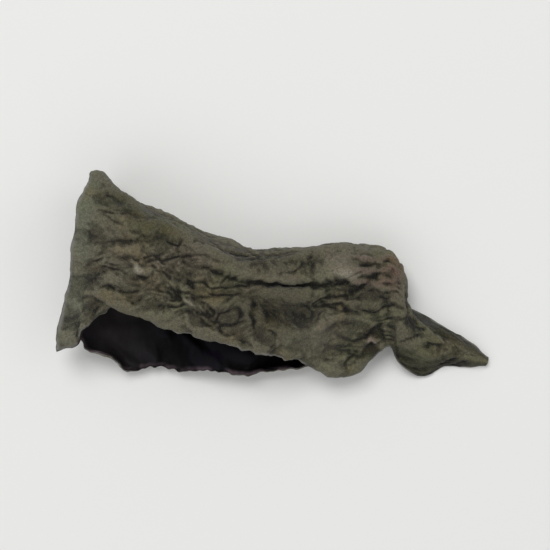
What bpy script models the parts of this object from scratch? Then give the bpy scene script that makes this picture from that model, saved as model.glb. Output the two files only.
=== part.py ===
"""A dried wood ear mushroom: one thin fruit body, folded along its length and shrivelled.

The fruit body is one sheet. It grew on wood at its narrow end (+X), where it is cut off, and it widens
to a free margin (-X). Drying folded it along its length, with the fold's crest towards +Y and the
opening towards -Y. The front flap lies on top with its outer side up, and the back flap lies on the
table with its inner side up. The part is about 59 mm long and lies as it would on a table, z = 0.

A point of the sheet has a station, from 0 at the cut end to 1 at the free margin, and a reach, from -1 at
the front flap's edge over 0 at the crest to 1 at the back flap's edge.
"""

import bmesh
import bpy
import numpy as np

MM = 0.001
NAME = "wood_ear"

# The grid that the sheet starts as: cells along it and across it.
CELLS_ALONG = 59
CELLS_ACROSS = 39

# The sheet laid flat, in mm, and the wall that it has.
SHEET_LENGTH = 58.0
WALL_BODY = 1.2
WALL_MARGIN = 0.7
WALL_ROOT = 1.2
WALL_RUN = 6.0
ROOT_STATIONS = (0.04, 0.16)

# The three lines that carry the sheet: (station, x, y, z), in mm.
CREST = (
    (0.00, 29.2, -10.7, 1.6),
    (0.07, 25.2, -8.9, 3.0),
    (0.14, 20.7, -6.5, 4.2),
    (0.19, 17.6, -2.9, 4.9),
    (0.23, 17.2, 0.8, 5.0),
    (0.27, 15.8, 3.6, 5.1),
    (0.35, 10.4, 4.9, 5.5),
    (0.44, 4.2, 4.7, 5.8),
    (0.54, -1.6, 4.4, 6.5),
    (0.62, -6.4, 5.1, 6.9),
    (0.73, -12.6, 8.0, 7.1),
    (0.85, -18.8, 10.9, 7.3),
    (1.00, -24.1, 14.7, 7.6),
)
FRONT_EDGE = (
    (0.00, 29.0, -11.2, 0.9),
    (0.08, 23.9, -11.1, 0.9),
    (0.16, 19.1, -12.5, 2.0),
    (0.19, 16.8, -10.9, 3.4),
    (0.22, 15.7, -8.9, 5.0),
    (0.27, 13.0, -10.0, 5.3),
    (0.31, 10.9, -12.1, 5.1),
    (0.36, 8.2, -12.8, 5.6),
    (0.42, 5.6, -11.7, 6.6),
    (0.52, -0.2, -9.3, 9.6),
    (0.63, -7.2, -7.5, 11.0),
    (0.78, -16.2, -5.3, 11.8),
    (0.90, -22.8, -4.7, 10.6),
    (0.95, -25.4, -5.5, 9.2),
    (0.98, -26.7, -8.0, 7.4),
    (1.00, -29.4, -9.0, 6.0),
)
BACK_EDGE = (
    (0.00, 29.3, -10.3, 0.9),
    (0.08, 25.2, -7.2, 0.9),
    (0.15, 20.5, -4.2, 1.2),
    (0.21, 16.7, -2.9, 1.4),
    (0.30, 12.5, -8.2, 2.0),
    (0.42, 5.8, -11.2, 2.6),
    (0.53, -1.5, -12.3, 3.8),
    (0.63, -7.5, -12.1, 4.8),
    (0.74, -14.0, -11.5, 3.0),
    (0.84, -19.6, -11.1, 3.2),
    (0.93, -24.6, -10.0, 4.2),
    (1.00, -27.0, -6.4, 3.2),
)
# Half the height between the two flaps near the crest: (station, mm).
HALF_GAP = (
    (0.00, 0.0),
    (0.10, 0.1),
    (0.18, 1.5),
    (0.25, 3.2),
    (0.34, 3.9),
    (0.46, 4.0),
    (0.56, 4.7),
    (0.74, 6.1),
    (1.00, 6.6),
)

# How the sheet turns round its crest, and how the outline opens out from the cut end.
CREST_BEND = 0.20
FOLD_STATIONS = (0.08, 0.28)
EDGE_TURN = (0.25, 1.05, 1.3)
MARGIN_BULGE = 0.6
MARGIN_BULGE_POWER = 6
TIP_SHARE = 0.06
WIDE_STATION = 0.34
WIDENING = 0.8
# A flap's width when it is laid flat is its width on plan and this share of the half gap.
CREST_SHARE = 0.9
# The step, as a station or a reach, that the sheet's directions are measured on.
STEP = 0.001

# The margins roll towards the inner side on this radius, over these lengths, in mm.
ROLL_RADIUS = 1.5
ROLL_LONGEST = 3.0
ROLL_SIDE = 1.4
ROLL_END = 1.0
ROLL_STATIONS = (0.16, 0.36)
# The free margin's roll fades out at the two corners.
CORNER_REACH = (0.75, 0.98)
# One small lip on the front flap rolls further.
LIP_ROLL = 0.8
LIP_STATION = 0.89
LIP_SPREAD = 0.03

# Uneven growth and drying: layers of noise, each (height, length along, length across, seed), in mm.
SWELLS = ((0.8, 13.0, 10.0, 8),)
DRIFT_ALONG = ((2.2, 10.0, 10.0, 11), (0.8, 4.5, 4.5, 13))
DRIFT_ACROSS = ((2.2, 10.0, 10.0, 12), (0.8, 4.5, 4.5, 14))
SIDE_LOBES = ((1.0, 6.5, 1.0, 21), (0.6, 3.1, 1.0, 22))
END_LOBES = ((0.2, 6.5, 1.0, 25), (0.15, 3.0, 1.0, 26))
SIDE_WAVES = ((1.1, 5.0, 14.0, 23), (0.5, 2.9, 12.0, 24))
END_WAVES = ((0.3, 5.5, 14.0, 27), (0.15, 2.9, 12.0, 28))
SIDE_ROLLS = ((1.5, 8.0, 1.0, 31),)
END_ROLLS = ((0.5, 9.0, 1.0, 33),)
# The front and back flaps read their edge noise on different lines, so that they differ.
FRONT_LINE = 0.37
BACK_LINE = 7.37
NOISE_LATTICE = 64
NOISE_GAIN = 1.5

# Where margins begin to wave: reach, station from the cut end, and station near the free margin. The
# front flap's edge is the straighter one.
FRONT_WAVINESS = 0.4
BACK_WAVINESS = 0.45
WAVE_REACH = (0.45, 1.0)
WAVE_STATIONS = (0.10, 0.30)
END_STATIONS = (0.78, 1.0)

# Sharp folds, mostly lengthwise: height, slope, length along, length across, seed.
FOLD_HEIGHT = 0.3
FOLD_SLOPE = 3.2
FOLD_NOISE = ((1.0, 12.0, 7.0, 3),)
# Relief is weaker on the narrow, tougher end.
RELIEF_LEAST = 0.40
RELIEF_STATIONS = (0.08, 0.45)

# The network of shrinkage ridges: spacing and height in mm, and how far it lines up lengthwise.
RIDGE_SPACING = 5.6
RIDGE_HEIGHT = 0.55
RIDGE_LEVEL = 0.35
RIDGE_LENGTHWISE = 0.15
RIDGE_SHARPNESS = 1.2
RIDGE_SEED = 1
RIDGE_SQUARE = 96.0
RIDGE_CELLS = 160
RIDGE_DENT = 0.1
RIDGE_STEPS = 140
RIDGE_STEP = 0.6
RIDGE_GROWTH = 0.8
RIDGE_FULL_PERCENT = 99
RIDGE_PATCHES = ((1.0, 11.0, 9.0, 42),)
RIDGE_PATCH_LEAST = 0.3
RIDGE_PATCH_RANGE = (-0.3, 0.3)

# Single marks: height, distance along, distance across, length, breadth (mm) and turn (radians).
MARKS = (
    (0.6, 28.6, -5.7, 7.0, 1.3, 0.06),
    (-0.7, 28.6, -7.8, 7.0, 0.9, 0.06),
    (0.5, 21.5, -5.2, 1.8, 1.6, 0.0),
    (-0.6, 50.0, -9.5, 2.8, 0.8, -0.58),
    (-0.5, 41.0, -4.8, 2.2, 0.8, -0.42),
)

# Where the sheet is put down, in mm: over the middle of the frame, and its lowest lumps pressed flat.
PLACE = (0.04, -1.21, -1.0)

OUTER_COLOUR = (0.065, 0.058, 0.043, 1.0)
ROUGHNESS = 0.8


def eased(low, high, value):
    """Rises from 0 at low to 1 at high, level at both ends."""
    share = np.clip((value - low) / (high - low), 0.0, 1.0)
    return share * share * (3.0 - 2.0 * share)


def unit(vectors):
    """Vectors of length 1."""
    return vectors / np.maximum(np.linalg.norm(vectors, axis=-1, keepdims=True), 1e-9)


def along_line(knots, station):
    """A smooth line through knots (station, value...): a cubic between each two, with matched slopes."""
    knots = np.array(knots, float)
    at, value = knots[:, 0], knots[:, 1:]
    slope = np.gradient(value, at, axis=0)
    i = np.clip(np.searchsorted(at, station, side="right") - 1, 0, len(at) - 2)
    span = (at[i + 1] - at[i])[..., None]
    f = (station - at[i])[..., None] / span
    start = (1 + 2 * f) * (1 - f) ** 2 * value[i] + f * (1 - f) ** 2 * span * slope[i]
    end = f**2 * (3 - 2 * f) * value[i + 1] + f**2 * (f - 1) * span * slope[i + 1]
    return start + end


def noise(x, y, seed):
    """Smooth noise of about -1 to 1: random slopes on a lattice of whole numbers, blended between."""
    angle = np.random.RandomState(seed).uniform(0.0, 2.0 * np.pi, (NOISE_LATTICE, NOISE_LATTICE))
    slope_x, slope_y = np.cos(angle), np.sin(angle)
    column, row = np.floor(x).astype(int), np.floor(y).astype(int)
    fx, fy = x - column, y - row
    blend_x = fx**3 * (fx * (fx * 6 - 15) + 10)
    blend_y = fy**3 * (fy * (fy * 6 - 15) + 10)

    def corner(dx, dy):
        at = (column + dx) % NOISE_LATTICE, (row + dy) % NOISE_LATTICE
        return slope_x[at] * (fx - dx) + slope_y[at] * (fy - dy)

    low = corner(0, 0) * (1 - blend_x) + corner(1, 0) * blend_x
    high = corner(0, 1) * (1 - blend_x) + corner(1, 1) * blend_x
    return NOISE_GAIN * (low * (1 - blend_y) + high * blend_y)


def layered(along, across, layers):
    """The sum of some layers of noise, in mm."""
    total = np.zeros_like(along)
    for height, length, breadth, seed in layers:
        total = total + height * noise(along / length, across / breadth, seed)
    return total


def ridge_network():
    """Wrinkles of one spacing on a square that repeats, from about -1 to 1.

    A flat sheet with small random dents is shrunk step by step: waves of the ridge spacing grow until
    they limit themselves, and all other waves die out.
    """
    dents = np.random.RandomState(RIDGE_SEED).uniform(-1, 1, (RIDGE_CELLS, RIDGE_CELLS))
    field = RIDGE_DENT * dents
    wave = np.fft.fftfreq(RIDGE_CELLS, RIDGE_SQUARE / RIDGE_CELLS) * RIDGE_SPACING
    wave_along, wave_across = np.meshgrid(wave, wave, indexing="ij")
    damping = (1 - wave_along**2 - wave_across**2) ** 2 + RIDGE_LENGTHWISE * wave_along**2
    for _ in range(RIDGE_STEPS):
        grown = field + RIDGE_STEP * (RIDGE_GROWTH * field - field**3)
        field = np.real(np.fft.ifft2(np.fft.fft2(grown) / (1 + RIDGE_STEP * damping)))
    return field / np.percentile(np.abs(field), RIDGE_FULL_PERCENT)


def read_network(field, along, across):
    """The network's value at places in mm, blended between its four nearest cells."""
    x, y = along / RIDGE_SQUARE * RIDGE_CELLS, across / RIDGE_SQUARE * RIDGE_CELLS
    column, row = np.floor(x).astype(int), np.floor(y).astype(int)
    fx, fy = x - column, y - row
    left, right = column % RIDGE_CELLS, (column + 1) % RIDGE_CELLS
    low, high = row % RIDGE_CELLS, (row + 1) % RIDGE_CELLS
    below = field[left, low] * (1 - fx) + field[right, low] * fx
    above = field[left, high] * (1 - fx) + field[right, high] * fx
    return below * (1 - fy) + above * fy


def crested(field, sharpness):
    """Makes a wave of -1 to 1 into narrow crests and wide valleys of 0 to 1."""
    least = np.exp(-2 * sharpness)
    return (np.exp(sharpness * (np.clip(field, -1, 1) - 1)) - least) / (1 - least)


def sheet_places(along_share, across_share):
    """Station and reach of grid places: rows start further out the further they lie from the crest."""
    off_crest = np.clip((np.abs(across_share) - TIP_SHARE) / (1 - TIP_SHARE), 0, 1)
    start = WIDE_STATION * off_crest**WIDENING
    station = start + (1 - start) * along_share
    opened = np.clip(station / WIDE_STATION, 0, 1) ** (1 / WIDENING)
    width = TIP_SHARE + (1 - TIP_SHARE) * opened
    return station, np.clip(across_share / width, -1, 1)


def carrying_lines(station, reach):
    """The crest point, the edge point of the place's own flap, and half the gap, at each place."""
    front = (reach < 0)[..., None]
    edge = np.where(front, along_line(FRONT_EDGE, station), along_line(BACK_EDGE, station))
    return along_line(CREST, station), edge, along_line(HALF_GAP, station)[..., 0]


def folded_sheet(station, reach):
    """The plain folded sheet: a hyperbola round the crest that runs out to the edge of each flap."""
    crest, edge, half = carrying_lines(station, reach)
    out = np.abs(reach)
    whole = np.sqrt(1 + CREST_BEND**2)
    bent = (np.sqrt(out**2 + CREST_BEND**2) - CREST_BEND) / (whole - CREST_BEND)
    share = out + (bent - out) * eased(*FOLD_STATIONS, station)
    plan = crest[..., :2] + (edge[..., :2] - crest[..., :2]) * share[..., None]
    side = np.where(reach < 0, 1.0, -1.0)
    level = crest[..., 2] + side * half * out / np.sqrt(out**2 + CREST_BEND**2) * whole
    turn_from, turn_to, turn_power = EDGE_TURN
    drop = edge[..., 2] - crest[..., 2] - side * half
    height = level + drop * eased(turn_from, turn_to, out) ** turn_power
    x = plan[..., 0] - MARGIN_BULGE * np.sin(np.pi * out) * station**MARGIN_BULGE_POWER
    return np.stack([x, plan[..., 1], height], -1)


def flat_places(station, reach):
    """Distance along and across the sheet laid flat, and the flap's width there, in mm."""
    crest, edge, half = carrying_lines(station, reach)
    width = np.linalg.norm((edge - crest)[..., :2], axis=-1) + CREST_SHARE * half
    return SHEET_LENGTH * station, reach * width, width


def directions(surface, station, reach):
    """Unit vectors of a surface: along, across and out of its outer side."""
    along = unit(surface(station + STEP, reach) - surface(station - STEP, reach))
    across = unit(surface(station, reach + STEP) - surface(station, reach - STEP))
    return along, across, unit(np.cross(across, along))


def near_side(station, reach):
    """How wavy a place is for lying near a flap's margin."""
    flap = np.where(reach < 0, FRONT_WAVINESS, BACK_WAVINESS)
    return flap * eased(*WAVE_REACH, np.abs(reach)) * eased(*WAVE_STATIONS, station)


def rolled_sheet(station, reach):
    """The folded sheet with lobed margins that roll inwards: its last mm follow an arc."""
    along, across, width = flat_places(station, reach)
    toward_end, toward_back, outer = directions(folded_sheet, station, reach)
    toward_side = toward_back * np.where(reach < 0, -1.0, 1.0)[..., None]
    line = np.where(reach < 0, FRONT_LINE, BACK_LINE)
    near_end = eased(*END_STATIONS, station)
    lip = LIP_ROLL * np.exp(-(((station - LIP_STATION) / LIP_SPREAD) ** 2)) * (reach < 0)
    side_roll = (ROLL_SIDE + layered(along, line, SIDE_ROLLS) + lip) * eased(*ROLL_STATIONS, station)
    corner = eased(*CORNER_REACH, np.abs(reach))
    end_line = np.zeros_like(across) + FRONT_LINE
    end_roll = (ROLL_END + layered(across, end_line, END_ROLLS)) * (1 - corner)
    side_lobe = near_side(station, reach) * layered(along, line, SIDE_LOBES)
    end_lobe = near_end * layered(across, end_line, END_LOBES)
    points = folded_sheet(station, reach)
    for distance, roll, lobe, toward in (
        ((1 - np.abs(reach)) * width, side_roll, side_lobe, toward_side),
        ((1 - station) * SHEET_LENGTH, end_roll, end_lobe, toward_end),
    ):
        turned = np.maximum(np.clip(roll, 0, ROLL_LONGEST) - distance, 0)
        angle = turned / ROLL_RADIUS
        points = points + toward * (ROLL_RADIUS * np.sin(angle) - turned + lobe)[..., None]
        points = points - outer * (ROLL_RADIUS * (1 - np.cos(angle)))[..., None]
    return points


def marks(along, across):
    """Single bumps, ledges and pits, each a bell shape stretched and turned, in mm."""
    total = np.zeros_like(along)
    for height, at_along, at_across, length, breadth, turn in MARKS:
        x, y = along - at_along, across - at_across
        lengthwise = (x * np.cos(turn) + y * np.sin(turn)) / length
        crosswise = (y * np.cos(turn) - x * np.sin(turn)) / breadth
        total = total + height * np.exp(-(lengthwise**2 + crosswise**2))
    return total


def crumple(station, reach):
    """How far the sheet stands off its rolled form: swells, folds, shrinkage ridges, marks and waves."""
    along, across, _ = flat_places(station, reach)
    drifted_along = along + layered(along, across, DRIFT_ALONG)
    drifted_across = across + layered(along, across, DRIFT_ACROSS)
    swell = layered(drifted_along, drifted_across, SWELLS)
    fold = FOLD_HEIGHT * (1 - FOLD_SLOPE * np.abs(layered(drifted_along, drifted_across, FOLD_NOISE)))
    network = crested(read_network(ridge_network(), drifted_along, drifted_across), RIDGE_SHARPNESS)
    patch = eased(*RIDGE_PATCH_RANGE, layered(along, across, RIDGE_PATCHES))
    patch = RIDGE_PATCH_LEAST + (1 - RIDGE_PATCH_LEAST) * patch
    ridge = RIDGE_HEIGHT * patch * (network - RIDGE_LEVEL)
    strength = RELIEF_LEAST + (1 - RELIEF_LEAST) * eased(*RELIEF_STATIONS, station)
    flap_start = np.where(reach < 0, 0.0, SHEET_LENGTH)
    wave = near_side(station, reach) * layered(along + flap_start, across, SIDE_WAVES)
    wave = wave + eased(*END_STATIONS, station) * layered(across, along, END_WAVES)
    return strength * (swell + fold + ridge) + marks(along, across) + wave


def wall(station, reach):
    """The sheet's thickness: thin at its free margins, full everywhere else."""
    _, _, width = flat_places(station, reach)
    inset = np.minimum((1 - np.abs(reach)) * width, (1 - station) * SHEET_LENGTH)
    wide = eased(*ROOT_STATIONS, station)
    body = WALL_MARGIN + (WALL_BODY - WALL_MARGIN) * eased(0.0, WALL_RUN, inset)
    return WALL_ROOT + (body - WALL_ROOT) * wide


def clear_scene():
    """Removes every object of the open file."""
    for item in list(bpy.data.objects):
        bpy.data.objects.remove(item)


def make_collection():
    """A collection named for the object."""
    collection = bpy.data.collections.new("dried_wood_ear")
    bpy.context.scene.collection.children.link(collection)
    return collection


def make_material():
    """The dull grey brown of the outer side."""
    material = bpy.data.materials.new(NAME)
    material.use_nodes = True
    shader = material.node_tree.nodes["Principled BSDF"]
    shader.inputs["Base Color"].default_value = OUTER_COLOUR
    shader.inputs["Roughness"].default_value = ROUGHNESS
    shader.inputs["Metallic"].default_value = 0.0
    return material


def make_sheet():
    """A flat grid whose points are moved on to the shrivelled sheet, with its wall kept as a weight."""
    bpy.ops.mesh.primitive_grid_add(x_subdivisions=CELLS_ALONG, y_subdivisions=CELLS_ACROSS, size=2)
    sheet = bpy.context.object
    mesh = sheet.data
    count = len(mesh.vertices)
    flat = np.empty(count * 3)
    mesh.vertices.foreach_get("co", flat)
    flat = flat.reshape(count, 3)
    station, reach = sheet_places((flat[:, 0] + 1) / 2, flat[:, 1])
    _, _, outer = directions(rolled_sheet, station, reach)
    points = rolled_sheet(station, reach) + outer * crumple(station, reach)[:, None]
    mesh.vertices.foreach_set("co", ((points + PLACE) * MM).ravel())
    group = sheet.vertex_groups.new(name="wall")
    for index, thickness in enumerate(wall(station, reach)):
        group.add([index], thickness / WALL_ROOT, "REPLACE")
    return sheet


def thicken(sheet):
    """Gives the sheet its wall, half to each side."""
    solidify = sheet.modifiers.new("wall", "SOLIDIFY")
    solidify.thickness = WALL_ROOT * MM
    solidify.offset = 0.0
    solidify.vertex_group = "wall"
    solidify.thickness_vertex_group = 0.0
    depsgraph = bpy.context.evaluated_depsgraph_get()
    return bpy.data.meshes.new_from_object(sheet.evaluated_get(depsgraph))


def press_flat(mesh):
    """Presses the lowest lumps flat on the table."""
    count = len(mesh.vertices)
    points = np.empty(count * 3)
    mesh.vertices.foreach_get("co", points)
    points = points.reshape(count, 3)
    points[:, 2] = np.maximum(points[:, 2], 0.0)
    mesh.vertices.foreach_set("co", points.ravel())


def split_faces(mesh):
    """Splits each four-sided face along its shorter diagonal, so that ridges stay whole."""
    work = bmesh.new()
    work.from_mesh(mesh)
    bmesh.ops.triangulate(work, faces=work.faces, quad_method="SHORT_EDGE")
    work.to_mesh(mesh)
    work.free()


def main():
    """Models the fruit body as one object."""
    clear_scene()
    collection = make_collection()
    sheet = make_sheet()
    mesh = thicken(sheet)
    bpy.data.objects.remove(sheet)
    press_flat(mesh)
    split_faces(mesh)
    mesh.materials.clear()
    mesh.materials.append(make_material())
    mesh.shade_smooth()
    wood_ear = bpy.data.objects.new(NAME, mesh)
    collection.objects.link(wood_ear)


main()
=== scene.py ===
"""The looks of a dried wood ear mushroom.

The fruit body is one thin sheet, folded along its length and shrivelled. Its outer side is a dull felt
of very short hairs, paler on the crests of its wrinkles, and its inner side is nearly black and
smoother. A point of the sheet has a station, from 0 at the cut end to 1 at the free margin, and a
reach, from -1 at the front flap's edge over 0 at the crest of the fold to 1 at the back flap's edge.
The sheet is worked out in millimetres and put into its mesh in metres.
"""

import logging
from dataclasses import dataclass
from enum import Enum
from functools import cached_property
from typing import Callable

import bpy
import numpy as np
import numpy.typing as npt
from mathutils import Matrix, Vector


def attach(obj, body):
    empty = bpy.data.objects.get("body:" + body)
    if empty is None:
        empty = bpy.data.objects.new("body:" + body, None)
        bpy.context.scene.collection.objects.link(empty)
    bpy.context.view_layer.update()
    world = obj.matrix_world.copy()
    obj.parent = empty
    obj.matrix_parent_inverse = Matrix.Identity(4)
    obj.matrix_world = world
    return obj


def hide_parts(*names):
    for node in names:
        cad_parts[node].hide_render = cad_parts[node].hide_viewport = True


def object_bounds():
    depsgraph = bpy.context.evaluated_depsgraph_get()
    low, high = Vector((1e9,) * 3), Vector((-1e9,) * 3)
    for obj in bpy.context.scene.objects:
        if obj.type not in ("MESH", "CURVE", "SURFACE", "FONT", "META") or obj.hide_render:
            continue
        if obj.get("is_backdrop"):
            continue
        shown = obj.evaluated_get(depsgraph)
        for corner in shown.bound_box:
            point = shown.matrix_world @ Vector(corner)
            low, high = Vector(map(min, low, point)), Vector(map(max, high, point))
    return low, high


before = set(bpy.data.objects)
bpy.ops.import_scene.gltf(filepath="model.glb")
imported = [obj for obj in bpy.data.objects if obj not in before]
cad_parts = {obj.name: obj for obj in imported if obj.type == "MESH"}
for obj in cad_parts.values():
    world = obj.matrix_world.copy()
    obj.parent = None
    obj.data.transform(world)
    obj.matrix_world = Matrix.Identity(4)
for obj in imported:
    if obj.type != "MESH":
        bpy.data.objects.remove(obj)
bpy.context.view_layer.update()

Array = npt.NDArray[np.float64]
Indices = npt.NDArray[np.int64]
Knots = tuple[tuple[float, ...], ...]
Layers = tuple[tuple[float, float, float, int], ...]
Surface = Callable[[Array, Array], Array]
Colour = tuple[float, float, float, float]
Inputs = dict[str | int, object]

LOG = logging.getLogger("dried_wood_ear")
MM = 0.001
# The least length that a vector is divided by.
SHORTEST = 1e-9
# The noise repeats after this many steps, and its heights are raised to reach about -1 to 1.
NOISE_LATTICE = 64
NOISE_GAIN = 1.5
# How often a running mean is taken along each axis.
BLUR_PASSES = 3
# How far a bent stripe's marks lie from its bend and how long they are, in mm, and the second one's turn.
STRIPE_STEP = 1.2
STRIPE_LENGTH = 1.6
STRIPE_TURN = -0.78
# How far the rim's upper and lower rings are turned from its middle ring towards their sides.
RIM_ANGLE = np.pi / 4
# The inner side's grid has every other row and column of the outer side's.
COARSE = slice(None, None, 2)
# A Mix node's colour sockets by number, because its number and vector sockets have the same names.
MIX_SHARE, MIX_FIRST, MIX_SECOND, MIX_RESULT = 0, 6, 7, 2


class Skin(Enum):
    """The two sides of the sheet: the value is the number of the material slot that each one has."""

    OUTER = 0
    INNER = 1


class Stored(Enum):
    """What the mesh stores for each of its points: the value is the attribute's name."""

    CREST = "crest"
    INSET = "inset"
    STRIP = "strip"
    BLUSH = "blush"
    TAIL = "tail"
    PALE_AND_HIGHLIGHT = "pale"
    PAINTED_SHADE = "shade"
    PAINTED_LIGHT = "worn"


class Effect(Enum):
    """The shader node groups that both finishes use: the value is the group's name."""

    PATCHES = "patches"
    RELIEF_TINT = "relief_tint"
    GRAIN = "grain"


class Socket(Enum):
    """The kinds of socket that the node groups have: the value is Blender's name for the kind."""

    NUMBER = "NodeSocketFloat"
    COLOUR = "NodeSocketColor"


def eased(low: float, high: float, value: Array) -> Array:
    """A step with soft ends: the cubic 3 f^2 - 2 f^3 of how far a value is from low to high.

    Args:
        low: The value where the step is still 0.
        high: The value where it has reached 1.
        value: The values to place on the step.

    Returns:
        Shares of 0 to 1.
    """
    share = np.clip((value - low) / (high - low), 0.0, 1.0)
    return share * share * (3.0 - 2.0 * share)


def unit(vectors: Array) -> Array:
    """Each vector divided by its length."""
    return vectors / np.maximum(np.linalg.norm(vectors, axis=-1, keepdims=True), SHORTEST)


def facing_out(points: Array) -> Array:
    """Unit vectors out of a grid of points: the step across the grid, crossed with the step along it."""
    return unit(np.cross(np.gradient(points, axis=1), np.gradient(points, axis=0)))


def lifted(points: Array) -> Array:
    """The same points, but those below the surface that the mushroom lies on are moved up to it."""
    return np.concatenate([points[..., :2], np.maximum(points[..., 2:], 0.0)], -1)


def along_line(knots: Knots, station: Array) -> Array:
    """A smooth line through knots: between each two runs a cubic whose slopes match its neighbours'.

    Args:
        knots: Rows of a station and then the line's values there.
        station: Where the line is read.

    Returns:
        The line's values, with one more axis than station.
    """
    table = np.array(knots, float)
    at, value = table[:, 0], table[:, 1:]
    slope = np.gradient(value, at, axis=0)
    i = np.clip(np.searchsorted(at, station, side="right") - 1, 0, len(at) - 2)
    span = (at[i + 1] - at[i])[..., None]
    f = (station - at[i])[..., None] / span
    start = (1 + 2 * f) * (1 - f) ** 2 * value[i] + f * (1 - f) ** 2 * span * slope[i]
    end = f**2 * (3 - 2 * f) * value[i + 1] + f**2 * (f - 1) * span * slope[i + 1]
    return start + end


def noise(x: Array, y: Array, seed: int) -> Array:
    """Smooth noise: a random slope stands at each whole number, and the slopes are blended between.

    The blend is 6 f^5 - 15 f^4 + 10 f^3 of how far the place is through its lattice cell.

    Args:
        x: First coordinate, in lattice steps.
        y: Second coordinate, in lattice steps.
        seed: Which of the random patterns is read.

    Returns:
        Heights of about -1 to 1.
    """
    angle = np.random.RandomState(seed).uniform(0.0, 2.0 * np.pi, (NOISE_LATTICE, NOISE_LATTICE))
    slope_x, slope_y = np.cos(angle), np.sin(angle)
    column, row = np.floor(x).astype(int), np.floor(y).astype(int)
    fx, fy = x - column, y - row
    blend_x = fx**3 * (fx * (fx * 6 - 15) + 10)
    blend_y = fy**3 * (fy * (fy * 6 - 15) + 10)

    def corner(dx: int, dy: int) -> Array:
        """The slope at one corner of the cell, times the way from that corner."""
        at = (column + dx) % NOISE_LATTICE, (row + dy) % NOISE_LATTICE
        return slope_x[at] * (fx - dx) + slope_y[at] * (fy - dy)

    low = corner(0, 0) * (1 - blend_x) + corner(1, 0) * blend_x
    high = corner(0, 1) * (1 - blend_x) + corner(1, 1) * blend_x
    return NOISE_GAIN * (low * (1 - blend_y) + high * blend_y)


def layered(along: Array, across: Array, layers: Layers) -> Array:
    """The sum of some layers of noise.

    Args:
        along: Distance along the flat sheet, in mm.
        across: Distance across the flat sheet, in mm.
        layers: For each layer its height, its length along and across in mm, and its seed.

    Returns:
        Heights in mm.
    """
    total = np.zeros_like(along)
    for height, length, breadth, seed in layers:
        total = total + height * noise(along / length, across / breadth, seed)
    return total


def moved(along: Array, across: Array, layers_along: Layers, layers_across: Layers) -> tuple[Array, Array]:
    """Places in mm, moved about by noise: each coordinate by layers of its own."""
    return along + layered(along, across, layers_along), across + layered(along, across, layers_across)


def blurred(values: Array, cells: int) -> Array:
    """Each grid value averaged with its neighbours: a running mean along both axes, taken some times.

    Args:
        values: A grid of numbers.
        cells: How many cells the mean reaches to each side.

    Returns:
        The smoothed grid.
    """
    for axis in (0, 1) * BLUR_PASSES:
        rim = [(cells + 1, cells) if a == axis else (0, 0) for a in range(values.ndim)]
        total = np.cumsum(np.pad(values, rim, mode="edge"), axis=axis)
        count = total.shape[axis]
        upper = np.take(total, np.arange(2 * cells + 1, count), axis=axis)
        lower = np.take(total, np.arange(0, count - 2 * cells - 1), axis=axis)
        values = (upper - lower) / (2 * cells + 1)
    return values


@dataclass(frozen=True)
class Network:
    """Shrinkage wrinkles of one spacing, on a flat square that repeats.

    A flat sheet with small random dents is shrunk step by step: waves of the wanted spacing grow until
    they limit themselves, and all other waves die out. The spacing and the square's side are in mm. The
    height that the full percentage of the cells don't pass is made 1.
    """

    spacing: float
    lengthwise: float
    seed: int
    square: float = 64.0
    cells: int = 320
    finer: int = 1
    steps: int = 140
    step: float = 0.6
    growth: float = 0.8
    dent: float = 0.1
    full_percent: float = 99.0

    @cached_property
    def pattern(self) -> Array:
        """The wrinkles, grown step by step.

        A step adds growth times the height less its cube. Then each wave is divided by 1 plus the step
        times its damping, which is (1 - f^2)^2 for f waves in a spacing, and more for waves that run
        lengthwise.

        Returns:
            Heights of about -1 to 1 on a square grid of cells.
        """
        heights = self.dent * np.random.RandomState(self.seed).uniform(-1, 1, (self.cells, self.cells))
        wave = np.fft.fftfreq(self.cells, self.square / self.cells) * self.spacing
        wave_along, wave_across = np.meshgrid(wave, wave, indexing="ij")
        damping = (1 - wave_along**2 - wave_across**2) ** 2 + self.lengthwise * wave_along**2
        for _ in range(self.steps):
            grown = heights + self.step * (self.growth * heights - heights**3)
            heights = np.real(np.fft.ifft2(np.fft.fft2(grown) / (1 + self.step * damping)))
        return self.refined(heights / np.percentile(np.abs(heights), self.full_percent))

    def refined(self, heights: Array) -> Array:
        """The same waves on a finer grid: their spectrum is set in the middle of a wider, empty one.

        Args:
            heights: The pattern on its own grid of cells.

        Returns:
            The pattern on a grid with finer times as many cells to a side.
        """
        if self.finer == 1:
            return heights
        margin = self.cells * (self.finer - 1) // 2
        spectrum = np.pad(np.fft.fftshift(np.fft.fft2(heights)), margin)
        return np.real(np.fft.ifft2(np.fft.ifftshift(spectrum))) * self.finer**2

    def at(self, along: Array, across: Array) -> Array:
        """The wrinkles' heights, blended between the four nearest cells.

        Args:
            along: Distance along the flat sheet, in mm.
            across: Distance across the flat sheet, in mm.

        Returns:
            Heights of about -1 to 1.
        """
        pattern, count = self.pattern, self.cells * self.finer
        x, y = along / self.square * count, across / self.square * count
        column, row = np.floor(x).astype(int), np.floor(y).astype(int)
        fx, fy = x - column, y - row
        left, right = column % count, (column + 1) % count
        low, high = row % count, (row + 1) % count
        below = pattern[left, low] * (1 - fx) + pattern[right, low] * fx
        above = pattern[left, high] * (1 - fx) + pattern[right, high] * fx
        return below * (1 - fy) + above * fy

    def crests(self, along: Array, across: Array, sharpness: float) -> Array:
        """The wrinkles as narrow crests over wide valleys: an exponential of the height of the waves.

        Args:
            along: Distance along the flat sheet, in mm.
            across: Distance across the flat sheet, in mm.
            sharpness: The exponent, which is larger for narrower crests.

        Returns:
            Heights of 0 in the valleys to 1 on the crests.
        """
        least = np.exp(-2 * sharpness)
        height = np.clip(self.at(along, across), -1, 1) - 1
        return (np.exp(sharpness * height) - least) / (1 - least)


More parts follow.
